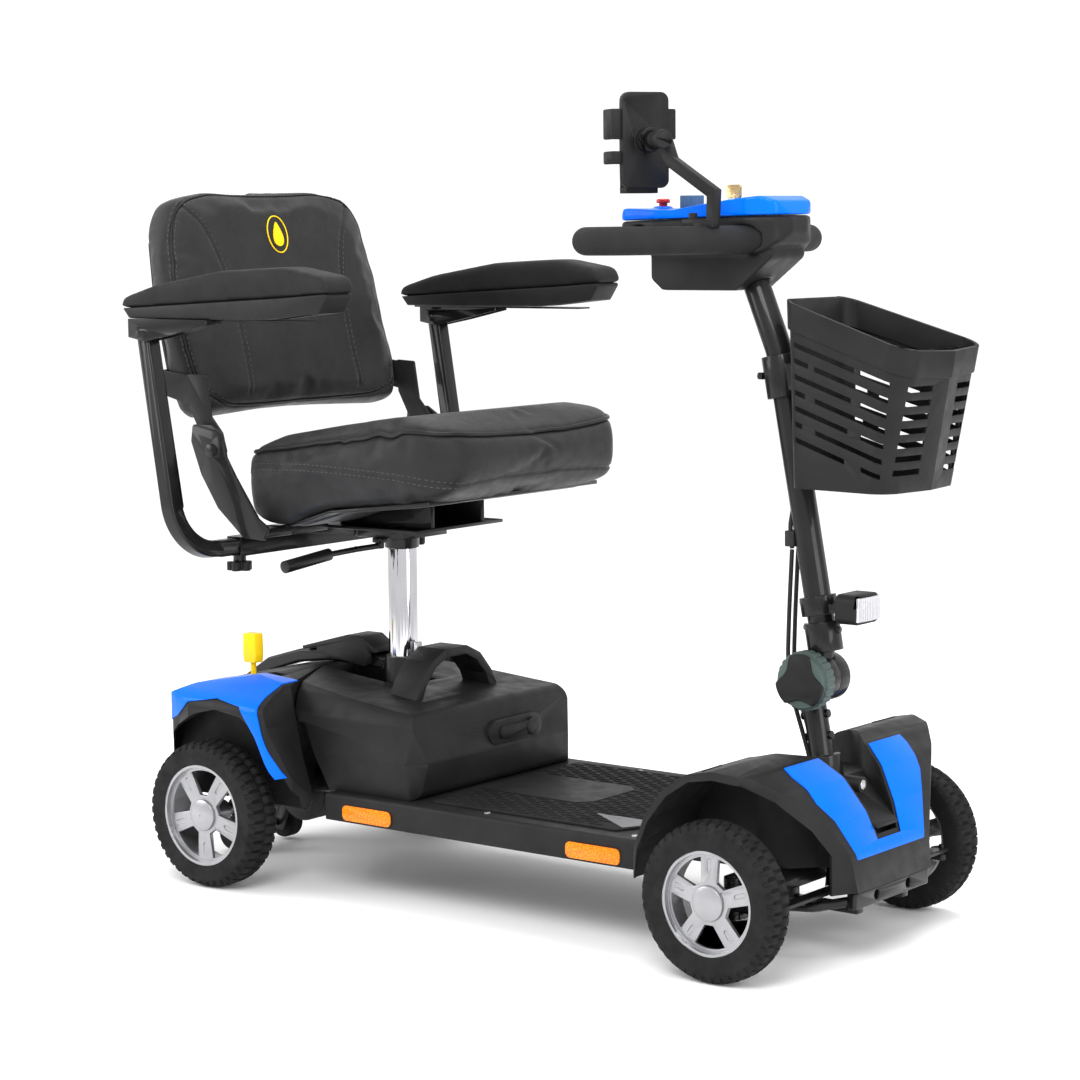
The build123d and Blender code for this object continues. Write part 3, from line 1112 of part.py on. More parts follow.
with BuildPart() as horn_button:
    add(rod((fx(HORN_X), 0, 1028), (fx(HORN_X), 0, 1043), 6))
    add(rod((fx(HORN_X), 0, 1042), (fx(HORN_X), 0, 1048), 10))
    fillet(horn_button.edges().group_by(Axis.Z)[-1], 3)
finish(horn_button, "horn_button")

with BuildPart() as speed_dial:
    add(rod((fx(DIAL_X), 0, 1024), (fx(DIAL_X), 0, 1035), 3))
    add(rod((fx(DIAL_X), 0, 1033), (fx(DIAL_X), 0, 1052), 17))
    for dent in range(18):
        turn = radians(20 * dent)
        centre = (fx(DIAL_X) + 18 * cos(turn), 18 * sin(turn))
        add(rod((*centre, 1030), (*centre, 1060), 1.8), mode=Mode.SUBTRACT)
finish(speed_dial, "speed_dial")

with BuildPart() as ignition_key:
    add(rod((fx(KEY_X), 0, 1024), (fx(KEY_X), 0, 1052), 3))
    add(block((KEY_X - 12, KEY_X + 12), (-1.8, 1.8), (1047, 1066)))
    fillet(ignition_key.edges().filter_by(Axis.Y), 4)
finish(ignition_key, "ignition_key")

with BuildPart() as throttle_lever:
    add(block((THROTTLE_X - 10, THROTTLE_X + 10), (-106, 106), (981, 985)))
    for side in (-1, 1):
        add(rod((fx(THROTTLE_X), side * 104, 981), (fx(THROTTLE_X), side * 104, 985), 10))
    add(rod((fx(THROTTLE_X), 0, SLOT_Z[0] + CLEAR), (fx(THROTTLE_X), 0, SLOT_Z[1] - CLEAR), 12))
finish(throttle_lever, "throttle_lever")

# ---------------------------------------------------------------- cables
CABLE_R = 3.2
CABLE_Y = 8.0
CABLE_JOIN_Z = 560.0
with BuildPart() as lower_cables:
    for side in (-1, 1):
        add(bent_tube([(fx(908), side * CABLE_Y, CABLE_JOIN_Z - 1.5), (fx(903), side * CABLE_Y, 470),
                       (fx(900), side * CABLE_Y, 375), (fx(926), side * CABLE_Y, 300),
                       (fx(937), side * CABLE_Y, 264)], 60, CABLE_R))
finish(lower_cables, "lower_cables")

with BuildPart() as upper_cables:
    for side in (-1, 1):
        add(bent_tube([(fx(908), side * CABLE_Y, CABLE_JOIN_Z), (fx(905), side * CABLE_Y, 592),
                       (fx(914), side * CABLE_Y, 640)], 40, CABLE_R))
    add(block((900, 915), (-15, 15), (563, 585)))
finish(upper_cables, "upper_cables")

# ---------------------------------------------------------------- phone holder
PHONE_Y = -120.0
BALL = (fx(757), -125.0, 1128.0)
BALL_R = 10.0
phone_side = (0.5, 0.866, 0)
phone_back = (0.866, -0.5, 0)
PLATE_GAP = 22.0
phone_plane = Plane(origin=(BALL[0] - PLATE_GAP * phone_back[0], BALL[1] - PLATE_GAP * phone_back[1], BALL[2]),
                    x_dir=phone_side, z_dir=phone_back)


def toward_back(distance):
    """A point this far behind the phone holder's ball."""
    return (BALL[0] + distance * phone_back[0], BALL[1] + distance * phone_back[1], BALL[2])


def ball(radius):
    """The phone holder's ball."""
    with BuildPart(mode=Mode.PRIVATE) as solid:
        with BuildSketch(Plane(origin=BALL, x_dir=phone_back, z_dir=phone_side)):
            with BuildLine():
                Line((-radius, 0), (radius, 0))
                ThreePointArc((radius, 0), (0, radius), (-radius, 0))
            make_face()
        revolve(axis=Axis(BALL, phone_back))
    return solid.part


ARM_OUTLINE = [(806, 1010), (860, 1010), (863, 1058), (792, 1103), (782, 1130), (768, 1126), (773, 1096), (847, 1049),
               (846, 1019), (806, 1019)]
with BuildPart() as phone_arm:
    add(prism(Plane.XZ.offset(-PHONE_Y), ahead(ARM_OUTLINE), 7, both=True))
    add(rod((fx(820), PHONE_Y, 1015), (fx(820), PHONE_Y, 1027), 6))
    add(block((826, 858), (PHONE_Y - 9, PHONE_Y + 9), (1007, 1014)))
    add(rod(toward_back(0), toward_back(20), 7))
    add(rod(toward_back(16), toward_back(36), 13))
    add(ball(BALL_R))
finish(phone_arm, "phone_arm")

with BuildPart() as phone_cradle:
    with BuildSketch(phone_plane) as plate_outline:
        RectangleRounded(70, 132, 12)
    extrude(amount=-14)
    with BuildSketch(phone_plane):
        Circle(17)
    extrude(amount=PLATE_GAP - 3)
    for side in (-1, 1):
        for v, tall in ((22, 42), (-24, 18)):
            with BuildSketch(phone_plane.offset(-7)):
                with Locations((side * 41, v)):
                    RectangleRounded(16, tall, 3)
            extrude(amount=-6)
            with BuildSketch(phone_plane.offset(-7)):
                with Locations((side * 47, v)):
                    Rectangle(4, tall)
            extrude(amount=-30)
    add(ball(BALL_R + RUNNING), mode=Mode.SUBTRACT)
    add(rod(toward_back(-4), toward_back(12), 12), mode=Mode.SUBTRACT)
finish(phone_cradle, "phone_cradle")

with BuildPart() as phone_jaw:
    with BuildSketch(phone_plane.offset(-14.3)):
        with Locations((0, -48)):
            Rectangle(48, 34)
    extrude(amount=-4)
    with BuildSketch(phone_plane.offset(-14.3)):
        with Locations((0, -69)):
            Rectangle(48, 8)
    extrude(amount=-24)
    with BuildSketch(phone_plane.offset(-34)):
        with Locations((0, -62)):
            Rectangle(48, 22)
    extrude(amount=-4)
finish(phone_jaw, "phone_jaw")
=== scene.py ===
"""Looks for the travel mobility scooter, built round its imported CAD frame. Metres, +X forward, +Z up."""
import json
import math

import bmesh
import bpy
import numpy as np
from mathutils import Matrix, Vector
from mathutils.bvhtree import BVHTree
from mathutils.kdtree import KDTree


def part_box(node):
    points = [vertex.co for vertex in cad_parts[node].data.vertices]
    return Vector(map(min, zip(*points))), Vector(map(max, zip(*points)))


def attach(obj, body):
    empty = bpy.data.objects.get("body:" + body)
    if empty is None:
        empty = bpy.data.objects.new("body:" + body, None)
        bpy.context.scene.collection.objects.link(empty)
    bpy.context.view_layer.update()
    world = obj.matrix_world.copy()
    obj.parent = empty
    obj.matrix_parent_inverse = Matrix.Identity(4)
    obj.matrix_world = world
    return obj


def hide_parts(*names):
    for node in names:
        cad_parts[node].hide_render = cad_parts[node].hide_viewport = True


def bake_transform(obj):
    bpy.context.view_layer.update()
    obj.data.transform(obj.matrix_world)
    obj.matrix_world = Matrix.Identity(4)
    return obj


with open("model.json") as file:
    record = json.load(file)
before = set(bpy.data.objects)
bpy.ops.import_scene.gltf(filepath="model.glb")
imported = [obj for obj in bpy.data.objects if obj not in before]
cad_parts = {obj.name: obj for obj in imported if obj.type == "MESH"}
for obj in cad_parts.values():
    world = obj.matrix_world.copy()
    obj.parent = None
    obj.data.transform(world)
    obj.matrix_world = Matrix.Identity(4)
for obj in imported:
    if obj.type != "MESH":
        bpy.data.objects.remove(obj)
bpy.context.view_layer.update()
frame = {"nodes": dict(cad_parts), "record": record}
scene = bpy.context.scene


# ---------------------------------------------------------------- materials
def new_material(name):
    """An empty node material: its tree, its shader and its rest-position coordinates."""
    made = bpy.data.materials.new(name)
    made.use_nodes = True
    nodes = made.node_tree.nodes
    place = nodes.new("ShaderNodeTexCoord")
    return made, made.node_tree, nodes["Principled BSDF"], place.outputs["Object"]


def noise_at(tree, place, scale, detail=2.0, rough=0.5):
    """A noise texture of so many features a metre."""
    node = tree.nodes.new("ShaderNodeTexNoise")
    node.inputs["Scale"].default_value = scale
    node.inputs["Detail"].default_value = detail
    node.inputs["Roughness"].default_value = rough
    tree.links.new(place, node.inputs["Vector"])
    return node.outputs["Fac"]


def cells_at(tree, place, scale, feature="F1"):
    """A cell texture of so many cells a metre."""
    node = tree.nodes.new("ShaderNodeTexVoronoi")
    node.feature = feature
    node.inputs["Scale"].default_value = scale
    tree.links.new(place, node.inputs["Vector"])
    return node.outputs["Distance"]


def ramp(tree, value, low, high, from_low=0.3, from_high=0.7):
    """A value mapped from one range to another."""
    node = tree.nodes.new("ShaderNodeMapRange")
    node.inputs["From Min"].default_value = from_low
    node.inputs["From Max"].default_value = from_high
    node.inputs["To Min"].default_value = low
    node.inputs["To Max"].default_value = high
    tree.links.new(value, node.inputs["Value"])
    return node.outputs["Result"]


def two_tone(tree, value, dark, light, low=0.3, high=0.7):
    """A colour between two, by a value."""
    node = tree.nodes.new("ShaderNodeValToRGB")
    node.color_ramp.elements[0].position = low
    node.color_ramp.elements[0].color = (*dark, 1)
    node.color_ramp.elements[1].position = high
    node.color_ramp.elements[1].color = (*light, 1)
    tree.links.new(value, node.inputs["Fac"])
    return node.outputs["Color"]


def bump(tree, value, depth, strength=1.0, under=None):
    """A bump of a real depth, laid on another if one is given."""
    node = tree.nodes.new("ShaderNodeBump")
    node.inputs["Distance"].default_value = depth
    node.inputs["Strength"].default_value = strength
    tree.links.new(value, node.inputs["Height"])
    if under is not None:
        tree.links.new(under, node.inputs["Normal"])
    return node.outputs["Normal"]


def finish_of(name, dark, light, rough, grain, depth, metal=0.0, coat=0.0, wear=14.0, specular=0.16,
              cells=False):
    """A moulded or painted finish: two close tones, uneven gloss and a fine surface grain."""
    made, tree, shader, place = new_material(name)
    broad = noise_at(tree, place, wear, 4.0)
    tree.links.new(two_tone(tree, broad, dark, light), shader.inputs["Base Color"])
    tree.links.new(ramp(tree, noise_at(tree, place, wear * 3, 3.0), rough[0], rough[1]),
                   shader.inputs["Roughness"])
    fine = cells_at(tree, place, grain) if cells else noise_at(tree, place, grain, 1.0)
    tree.links.new(bump(tree, fine, depth), shader.inputs["Normal"])
    shader.inputs["Metallic"].default_value = metal
    shader.inputs["Coat Weight"].default_value = coat
    shader.inputs["Coat Roughness"].default_value = 0.06
    shader.inputs["Specular IOR Level"].default_value = specular
    return made


def grey(level):
    """A neutral colour."""
    return (level, level, level * 1.04)


def leather(name):
    """Black grained upholstery with a soft sheen."""
    made, tree, shader, place = new_material(name)
    tree.links.new(two_tone(tree, noise_at(tree, place, 20, 4.0), grey(0.006), grey(0.012)),
                   shader.inputs["Base Color"])
    creases = bump(tree, cells_at(tree, place, 420, "DISTANCE_TO_EDGE"), 0.0009, 0.55)
    pores = bump(tree, noise_at(tree, place, 1500, 2.0), 0.0003, 0.5, creases)
    folds = bump(tree, noise_at(tree, place, 14, 2.0), 0.0015, 0.3, pores)
    tree.links.new(folds, shader.inputs["Normal"])
    tree.links.new(ramp(tree, noise_at(tree, place, 60, 3.0), 0.4, 0.56), shader.inputs["Roughness"])
    shader.inputs["Sheen Weight"].default_value = 0.05
    shader.inputs["Specular IOR Level"].default_value = 0.22
    return made


def honeycomb(name):
    """An amber reflector with prismatic cells under a clear face."""
    made, tree, shader, place = new_material(name)
    cells = cells_at(tree, place, 260, "DISTANCE_TO_EDGE")
    tree.links.new(two_tone(tree, cells, (0.72, 0.13, 0.0), (0.95, 0.27, 0.0), 0.02, 0.25),
                   shader.inputs["Base Color"])
    tree.links.new(bump(tree, cells, 0.0008, 0.5), shader.inputs["Normal"])
    shader.inputs["Roughness"].default_value = 0.3
    shader.inputs["Specular IOR Level"].default_value = 0.15
    shader.inputs["Coat Weight"].default_value = 0.3
    shader.inputs["Coat Roughness"].default_value = 0.08
    return made


MATERIALS = {
    "tyre_rubber": finish_of("tyre_rubber", grey(0.006), grey(0.012), (0.62, 0.85), 900, 0.0002, wear=30),
    "rim_silver": finish_of("rim_silver", grey(0.3), grey(0.36), (0.26, 0.4), 1400, 0.00004, metal=0.8,
                            coat=0.25),
    "frame_black": finish_of("frame_black", grey(0.004), grey(0.008), (0.3, 0.42), 700, 0.00012, coat=0.25),
    "deck_black": finish_of("deck_black", grey(0.009), grey(0.015), (0.45, 0.6), 1100, 0.00018),
    "mat_rubber": finish_of("mat_rubber", grey(0.009), grey(0.014), (0.66, 0.85), 1300, 0.0003),
    "amber_reflector": honeycomb("amber_reflector"),
    "trim_blue": finish_of("trim_blue", (0.0, 0.12, 0.78), (0.0, 0.132, 0.82), (0.2, 0.28), 240, 0.00001,
                           coat=0.12, specular=0.04),
    "cover_black": finish_of("cover_black", grey(0.008), grey(0.013), (0.38, 0.54), 1000, 0.00022),
    "motor_black": finish_of("motor_black", grey(0.03), grey(0.05), (0.5, 0.7), 500, 0.0004, metal=0.3),
    "lever_yellow": finish_of("lever_yellow", (0.8, 0.5, 0.0), (0.9, 0.58, 0.01), (0.32, 0.42), 700, 0.0001),
    "post_chrome": finish_of("post_chrome", grey(0.5), grey(0.58), (0.05, 0.12), 300, 0.000004, metal=1.0),
    "seat_leather": leather("seat_leather"),
    "pad_foam": finish_of("pad_foam", grey(0.008), grey(0.012), (0.5, 0.62), 800, 0.00035, cells=True),
    "handle_foam": finish_of("handle_foam", grey(0.011), grey(0.017), (0.6, 0.75), 900, 0.0005, cells=True),
    "zinc_screw": finish_of("zinc_screw", grey(0.4), grey(0.55), (0.25, 0.4), 900, 0.00005, metal=1.0),
    "cable_black": finish_of("cable_black", grey(0.012), grey(0.02), (0.38, 0.5), 800, 0.0001),
    "knob_grey": finish_of("knob_grey", (0.05, 0.07, 0.065), (0.07, 0.095, 0.088), (0.4, 0.55), 900, 0.0002),
    "lamp_clear": finish_of("lamp_clear", grey(0.6), grey(0.72), (0.08, 0.14), 300, 0.0002, coat=1.0,
                            metal=0.35),
    "dial_blue_grey": finish_of("dial_blue_grey", (0.06, 0.12, 0.19), (0.075, 0.15, 0.23), (0.4, 0.55), 900,
                                0.0002),
    "key_brass": finish_of("key_brass", (0.5, 0.36, 0.16), (0.62, 0.46, 0.24), (0.25, 0.4), 900, 0.00008,
                           metal=1.0),
    "horn_red": finish_of("horn_red", (0.55, 0.01, 0.01), (0.65, 0.015, 0.012), (0.2, 0.3), 600, 0.00004,
                          coat=0.6),
    "cell_case": finish_of("cell_case", grey(0.03), grey(0.05), (0.5, 0.65), 900, 0.0002),
    "piping": finish_of("piping", grey(0.01), grey(0.018), (0.3, 0.42), 1200, 0.0001),
    "thread": finish_of("thread", grey(0.05), grey(0.08), (0.6, 0.75), 2500, 0.0002),
    "emblem_yellow": finish_of("emblem_yellow", (0.8, 0.52, 0.0), (0.9, 0.6, 0.01), (0.4, 0.55), 900, 0.0001),
    "grey_inset": finish_of("grey_inset", grey(0.13), grey(0.17), (0.5, 0.65), 1200, 0.0003),
}
SLOT_OF = {row["node"]: row["material_slot"] for row in frame["record"]["subparts"]}


# ---------------------------------------------------------------- mesh helpers
JOIN = 0.00002  # corners nearer than this are one corner


def mesh_of(grid, name):
    """A mesh made from a finished grid, which is then let go."""
    mesh = bpy.data.meshes.new(name)
    grid.to_mesh(mesh)
    grid.free()
    return mesh


def link(name, mesh, body, material):
    """A new piece that moves with a body."""
    made = bpy.data.objects.new(name, mesh)
    scene.collection.objects.link(made)
    made.data.materials.clear()
    made.data.materials.append(MATERIALS[material])
    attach(made, body)
    return made


def smooth_by_angle(mesh, degrees=40.0):
    """Shade a mesh smooth but for its sharp edges."""
    mesh.shade_smooth()
    mesh.set_sharp_from_angle(angle=math.radians(degrees))


def apply_modifiers(made):
    """Turn a piece's modifiers into its mesh."""
    graph = bpy.context.evaluated_depsgraph_get()
    graph.update()
    done = bpy.data.meshes.new_from_object(made.evaluated_get(graph))
    made.modifiers.clear()
    made.data = done
    return made


def joined_copy(node):
    """A CAD node's mesh with its split corners joined and its flat faces whole again."""
    grid = bmesh.new()
    grid.from_mesh(frame["nodes"][node].data)
    bmesh.ops.remove_doubles(grid, verts=grid.verts, dist=JOIN)
    bmesh.ops.dissolve_limit(grid, angle_limit=math.radians(1.5), verts=grid.verts, edges=grid.edges,
                             delimit={"NORMAL"})
    return grid


def softened(node, body, width, thin=0.0006, roomy=0.012, segments=3, material=None):
    """A copy of a CAD node with rounded edges: the full width between wide faces, a fine break elsewhere."""
    grid = joined_copy(node)
    weight = grid.edges.layers.float.new("bevel_weight_edge")
    for edge in grid.edges:
        if len(edge.link_faces) != 2 or edge.calc_face_angle(0.0) < math.radians(14):
            continue
        room = min(face_span(face, edge) for face in edge.link_faces)
        edge[weight] = 1.0 if room > roomy else thin / width
    slot = SLOT_OF[node]
    made = link("look_" + node, mesh_of(grid, node), body, material or slot)
    bevel = made.modifiers.new("edges", "BEVEL")
    bevel.limit_method = "WEIGHT"
    bevel.width = width
    bevel.segments = segments
    bevel.use_clamp_overlap = node in CLAMPED
    bevel.miter_outer = "MITER_ARC"
    bevel.harden_normals = True
    apply_modifiers(made)
    smooth_by_angle(made.data, 38)
    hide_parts(node)
    hide_node(node)
    return made


def face_span(face, edge):
    """How far a face reaches away from one of its edges."""
    start = edge.verts[0].co
    along = (edge.verts[1].co - start).normalized()
    return max(((v.co - start) - (v.co - start).dot(along) * along).length for v in face.verts)


def hide_node(node):
    """Keep a CAD node out of the picture."""
    frame["nodes"][node].hide_render = True
    frame["nodes"][node].hide_viewport = True


def evened_out(mesh, rounds, hold=False):
    """Draw a mesh's points towards their neighbours, and back again if it is to hold its size."""
    count = len(mesh.vertices)
    spots = np.empty(count * 3)
    mesh.vertices.foreach_get("co", spots)
    spots = spots.reshape(-1, 3)
    ends = np.empty(len(mesh.edges) * 2, int)
    mesh.edges.foreach_get("vertices", ends)
    ends = ends.reshape(-1, 2)
    share = np.bincount(ends.ravel(), minlength=count)[:, None]
    for number in range(rounds):
        total = np.zeros_like(spots)
        np.add.at(total, ends[:, 0], spots[ends[:, 1]])
        np.add.at(total, ends[:, 1], spots[ends[:, 0]])
        pull = -0.53 if hold and number % 2 else 0.5
        spots += pull * (total / share - spots)
    mesh.vertices.foreach_set("co", spots.ravel())
    mesh.update()


def tree_of(made):
    """A search tree over a piece's surface."""
    mesh = made.data
    return BVHTree.FromPolygons([v.co.copy() for v in mesh.vertices],
                                [list(p.vertices) for p in mesh.polygons])


def rounded(points, closed, rounds=3):
    """Corners cut from a line again and again, so that it curves."""
    points = [Vector(p) for p in points]
    for _ in range(rounds):
        made = [] if closed else [points[0]]
        pairs = list(zip(points, points[1:] + points[:1])) if closed else list(zip(points, points[1:]))
        for start, stop in pairs:
            made += [start.lerp(stop, 0.25), start.lerp(stop, 0.75)]
        if not closed:
            made.append(points[-1])
        points = made
    return points + points[:1] if closed else points


def ahead(x):
    """Frame x, in metres, of a distance in millimetres forward of the rear axle."""
    return (x - 498.5) / 1000


def blow_up(made, cap):
    """Run a short cloth simulation under pressure and keep its result, capped."""
    before = [v.co.copy() for v in made.data.vertices]
    cloth = made.modifiers.new("cloth", "CLOTH")
    cloth.settings.quality = 4
    cloth.settings.mass = 0.3
    cloth.settings.tension_stiffness = 40
    cloth.settings.compression_stiffness = 40
    cloth.settings.shear_stiffness = 25
    cloth.settings.bending_stiffness = 10
    cloth.settings.use_pressure = True
    cloth.settings.uniform_pressure_force = CUSHION_PRESSURE
    cloth.settings.effector_weights.gravity = 0
    cloth.collision_settings.use_collision = False
    cloth.point_cache.frame_start = 1
    cloth.point_cache.frame_end = SIM_FRAMES
    for number in range(1, SIM_FRAMES + 1):
        scene.frame_set(number)
    graph = bpy.context.evaluated_depsgraph_get()
    done = bpy.data.meshes.new_from_object(made.evaluated_get(graph))
    made.modifiers.clear()
    for vertex, start, end in zip(made.data.vertices, before, done.vertices):
        step = end.co - start
        vertex.co = start + step * min(1.0, cap / max(step.length, 1e-9))
    scene.frame_set(1)


def on_surface(tree, points, spacing=0.003):
    """Points along a line, evenly spaced, each on the nearest surface, with the surface's normals."""
    found = []
    for start, stop in zip(points, points[1:]):
        start, stop = Vector(start), Vector(stop)
        count = max(1, round((stop - start).length / spacing))
        for step in range(count):
            spot, normal, _, _ = tree.find_nearest(start.lerp(stop, step / count))
            found.append((spot, normal))
    return found


def press_in(made, spots, depth, width):
    """Draw a seam into a padded surface."""
    finder = KDTree(len(spots))
    for number, (spot, _) in enumerate(spots):
        finder.insert(spot, number)
    finder.balance()
    normals = [v.normal.copy() for v in made.data.vertices]
    for vertex, normal in zip(made.data.vertices, normals):
        _, _, away = finder.find(vertex.co)
        if away < 3 * width:
            vertex.co -= normal * depth * math.exp(-((away / width) ** 2))
    made.data.update()


THREAD_SIZE = (0.0048, 0.0011, 0.0011)
THREAD_EVERY = 3  # points along a seam from one stitch to the next


def stitches(name, made, spots, aside, body):
    """Rows of short threads either side of a seam."""
    tree = tree_of(made)
    grid = bmesh.new()
    for side in (-1, 1):
        for here, after in list(zip(spots, spots[1:]))[::THREAD_EVERY]:
            along = after[0] - here[0]
            if along.length < 1e-6:
                continue
            along.normalize()
            across = along.cross(here[1]).normalized()
            centre, normal, _, _ = tree.find_nearest(here[0] + across * aside * side)
            centre = centre + normal * 0.0002
            turn = Matrix((along, normal, along.cross(normal))).transposed().to_4x4()
            place = Matrix.Translation(centre) @ turn @ Matrix.Diagonal((*THREAD_SIZE, 1))
            bmesh.ops.create_cube(grid, size=1, matrix=place)
    bmesh.ops.bevel(grid, geom=grid.edges[:], offset=0.0003, segments=1, affect="EDGES")
    return link(name, mesh_of(grid, name), body, "thread")


def pipe_on(name, spots, radius, body, lift=0.0):
    """A round cord of piping sewn along a line on a surface."""
    line = [spot + normal * lift for spot, normal in spots[::3]]
    return link(name, tube_mesh(name, line, radius, 12, closed=True), body, "piping")


def tube_mesh(name, points, radius, sides=10, closed=False):
    """A round tube through smooth points."""
    curve = bpy.data.curves.new(name, "CURVE")
    curve.dimensions = "3D"
    curve.bevel_depth = radius
    curve.bevel_resolution = max(1, sides // 4)
    spline = curve.splines.new("NURBS")
    spline.points.add(len(points) - 1)
    for spot, point in zip(spline.points, points):
        spot.co = (*point, 1)
    spline.use_cyclic_u = closed
    spline.order_u = 3
    spline.use_endpoint_u = not closed
    curve.use_fill_caps = not closed
    holder = bpy.data.objects.new(name, curve)
    scene.collection.objects.link(holder)
    graph = bpy.context.evaluated_depsgraph_get()
    graph.update()
    mesh = bpy.data.meshes.new_from_object(holder.evaluated_get(graph))
    bpy.data.objects.remove(holder)
    mesh.shade_smooth()
    return mesh


# ---------------------------------------------------------------- carried CAD pieces
BODY_OF = {node: body for body, nodes in frame["record"]["behaviour"]["bodies"].items() for node in nodes}
SOFT_NODES = ("seat_cushion", "back_cushion", "arm_pad_left", "arm_pad_right")
CLAMPED = {"rear_cover", "front_cover", "battery_lid", "battery_tub", "trim_panels"}
TYRES = {"rear_tyre_left", "rear_tyre_right", "front_tyre_left", "front_tyre_right"}
MOULDED = {"head_base": (0.0022, 12), "head_cover": (0.0018, 9)}
OWN_LOOK = {"lower_cables", "headlight"}
WIDE_EDGES = {"latch_lever": 0.002, "back_shell": 0.0015, "seat_shell": 0.0015, "front_bumper": 0.002,
              "deck_tray": 0.0015, "floor_mat": 0.001, "phone_cradle": 0.0025, "rear_cover": 0.0022,
              "front_cover": 0.0022, "battery_lid": 0.003, "battery_tub": 0.0025, "rear_handle": 0.002,
              "trim_panels": 0.0006}


def remoulded(node, voxel, rounds):
    """A moulded piece with its creases rounded over: covered evenly, then its points drawn together."""
    made = link("look_" + node, mesh_of(joined_copy(node), node), BODY_OF[node], SLOT_OF[node])
    remesh = made.modifiers.new("even", "REMESH")
    remesh.mode = "VOXEL"
    remesh.voxel_size = voxel
    apply_modifiers(made)
    evened_out(made.data, rounds)
    made.data.materials.clear()
    made.data.materials.append(MATERIALS[SLOT_OF[node]])
    made.data.shade_smooth()
    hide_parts(node)
    hide_node(node)


# ---------------------------------------------------------------- tyres
TREAD_PITCHES = 44
TREAD_STEPS = 8
TREAD_DEPTH = 0.0042
TREAD_ROWS = 26
BEAD_DEPTH = 0.0045  # how far the tyre reaches inside the rim's edge
CROWN_POWER = 0.42  # lower is squarer across the tread
WALL_POWER = 0.72
CENTRE_GROOVE, INNER_BLOCKS, GROOVE_EDGE, OUTER_BLOCKS, WALL_STEP = 0.09, 0.5, 0.6, 0.86, 0.9


def tread_lift(band, stagger):
    """How far the tread rises or falls at a share of the way from the middle to the side of a tyre."""
    if band < CENTRE_GROOVE:
        return -TREAD_DEPTH
    if band < INNER_BLOCKS:
        return -TREAD_DEPTH if stagger < 2 else 0.0
    if band < GROOVE_EDGE:
        return -TREAD_DEPTH * 0.7 if stagger % 4 < 1 else -0.0008
    if band < OUTER_BLOCKS:
        return -TREAD_DEPTH if (stagger + 3) % TREAD_STEPS < 3 else 0.0
    return -0.0012 if band < WALL_STEP else 0.0


def make_tyre(node):
    """A rounded tyre with staggered tread blocks, a zigzag centre groove and a stepped sidewall."""
    low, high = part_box(node)
    centre = (low + high) / 2
    outer = (high.z - low.z) / 2
    half = (high.y - low.y) / 2
    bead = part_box(node.replace("tyre", "rim"))
    inner = (bead[1].z - bead[0].z) / 2 - BEAD_DEPTH
    depth = outer - inner
    steps = TREAD_PITCHES * TREAD_STEPS
    grid = bmesh.new()
    rings = []
    for step in range(steps):
        turn = math.tau * step / steps
        part = step % TREAD_STEPS
        ring = []
        for row in range(TREAD_ROWS + 1):
            across = math.pi * row / TREAD_ROWS
            side = -math.cos(across)
            swell = max(0.0, math.sin(across))
            reach = inner + depth * swell ** CROWN_POWER
            place = half * math.copysign(abs(side) ** WALL_POWER, side) * (0.86 + 0.14 * min(1, swell * 1.6))
            stagger = part if side < 0 else (part + TREAD_STEPS // 2) % TREAD_STEPS
            radius = reach + tread_lift(abs(side), stagger)
            ring.append(grid.verts.new((centre.x + radius * math.cos(turn), centre.y + place,
                                        centre.z + radius * math.sin(turn))))
        rings.append(ring)
    for step in range(steps):
        here, after = rings[step], rings[(step + 1) % steps]
        for row in range(TREAD_ROWS):
            grid.faces.new((here[row], after[row], after[row + 1], here[row + 1]))
        grid.faces.new((here[-1], after[-1], after[0], here[0]))
    bmesh.ops.recalc_face_normals(grid, faces=grid.faces)
    made = link("look_" + node, mesh_of(grid, node), BODY_OF[node], "tyre_rubber")
    smooth_by_angle(made.data, 28)
    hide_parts(node)
    hide_node(node)


for node in sorted(TYRES):
    make_tyre(node)
for node, (voxel, rounds) in MOULDED.items():
    remoulded(node, voxel, rounds)
for node, owner in BODY_OF.items():
    if node not in SOFT_NODES and node not in MOULDED and node not in TYRES and node not in OWN_LOOK:
        softened(node, owner, WIDE_EDGES.get(node, 0.001))


# ---------------------------------------------------------------- details
def bars(name, rows, body, material, bevel=0.0):
    """Many small blocks as one piece, each from its centre, its size and a turn."""
    grid = bmesh.new()
    for centre, size, turn in rows:
        bmesh.ops.create_cube(grid, size=1,
                              matrix=Matrix.Translation(centre) @ turn @ Matrix.Diagonal((*size, 1)))
    if bevel:
        bmesh.ops.bevel(grid, geom=grid.edges[:], offset=bevel, segments=2, affect="EDGES")
    made = link(name, mesh_of(grid, name), body, material)
    smooth_by_angle(made.data, 40)
    return made


STILL = Matrix.Identity(4)
MAT_TOP = 0.1682
DASH_SIZE = (0.024, 0.0022, 0.0016)
DASH_PITCH_X, DASH_PITCH_Y, DASH_STAGGER = 33, 0.0113, 16
dashes = []
for row in range(-15, 16):
    y = row * DASH_PITCH_Y
    for number in range(11):
        x = ahead(402 + DASH_PITCH_X * number + (DASH_STAGGER if row % 2 else 0))
        on_pad = abs(y) < 0.072 and x < ahead(585)
        on_inset = abs(y) > 0.105 and x > ahead(690)
        if not on_pad and not on_inset and x < ahead(745):
            dashes.append((Vector((x, y, 0.1684)), DASH_SIZE, STILL))
bars("mat_dashes", dashes, "frame", "mat_rubber", 0.0005)


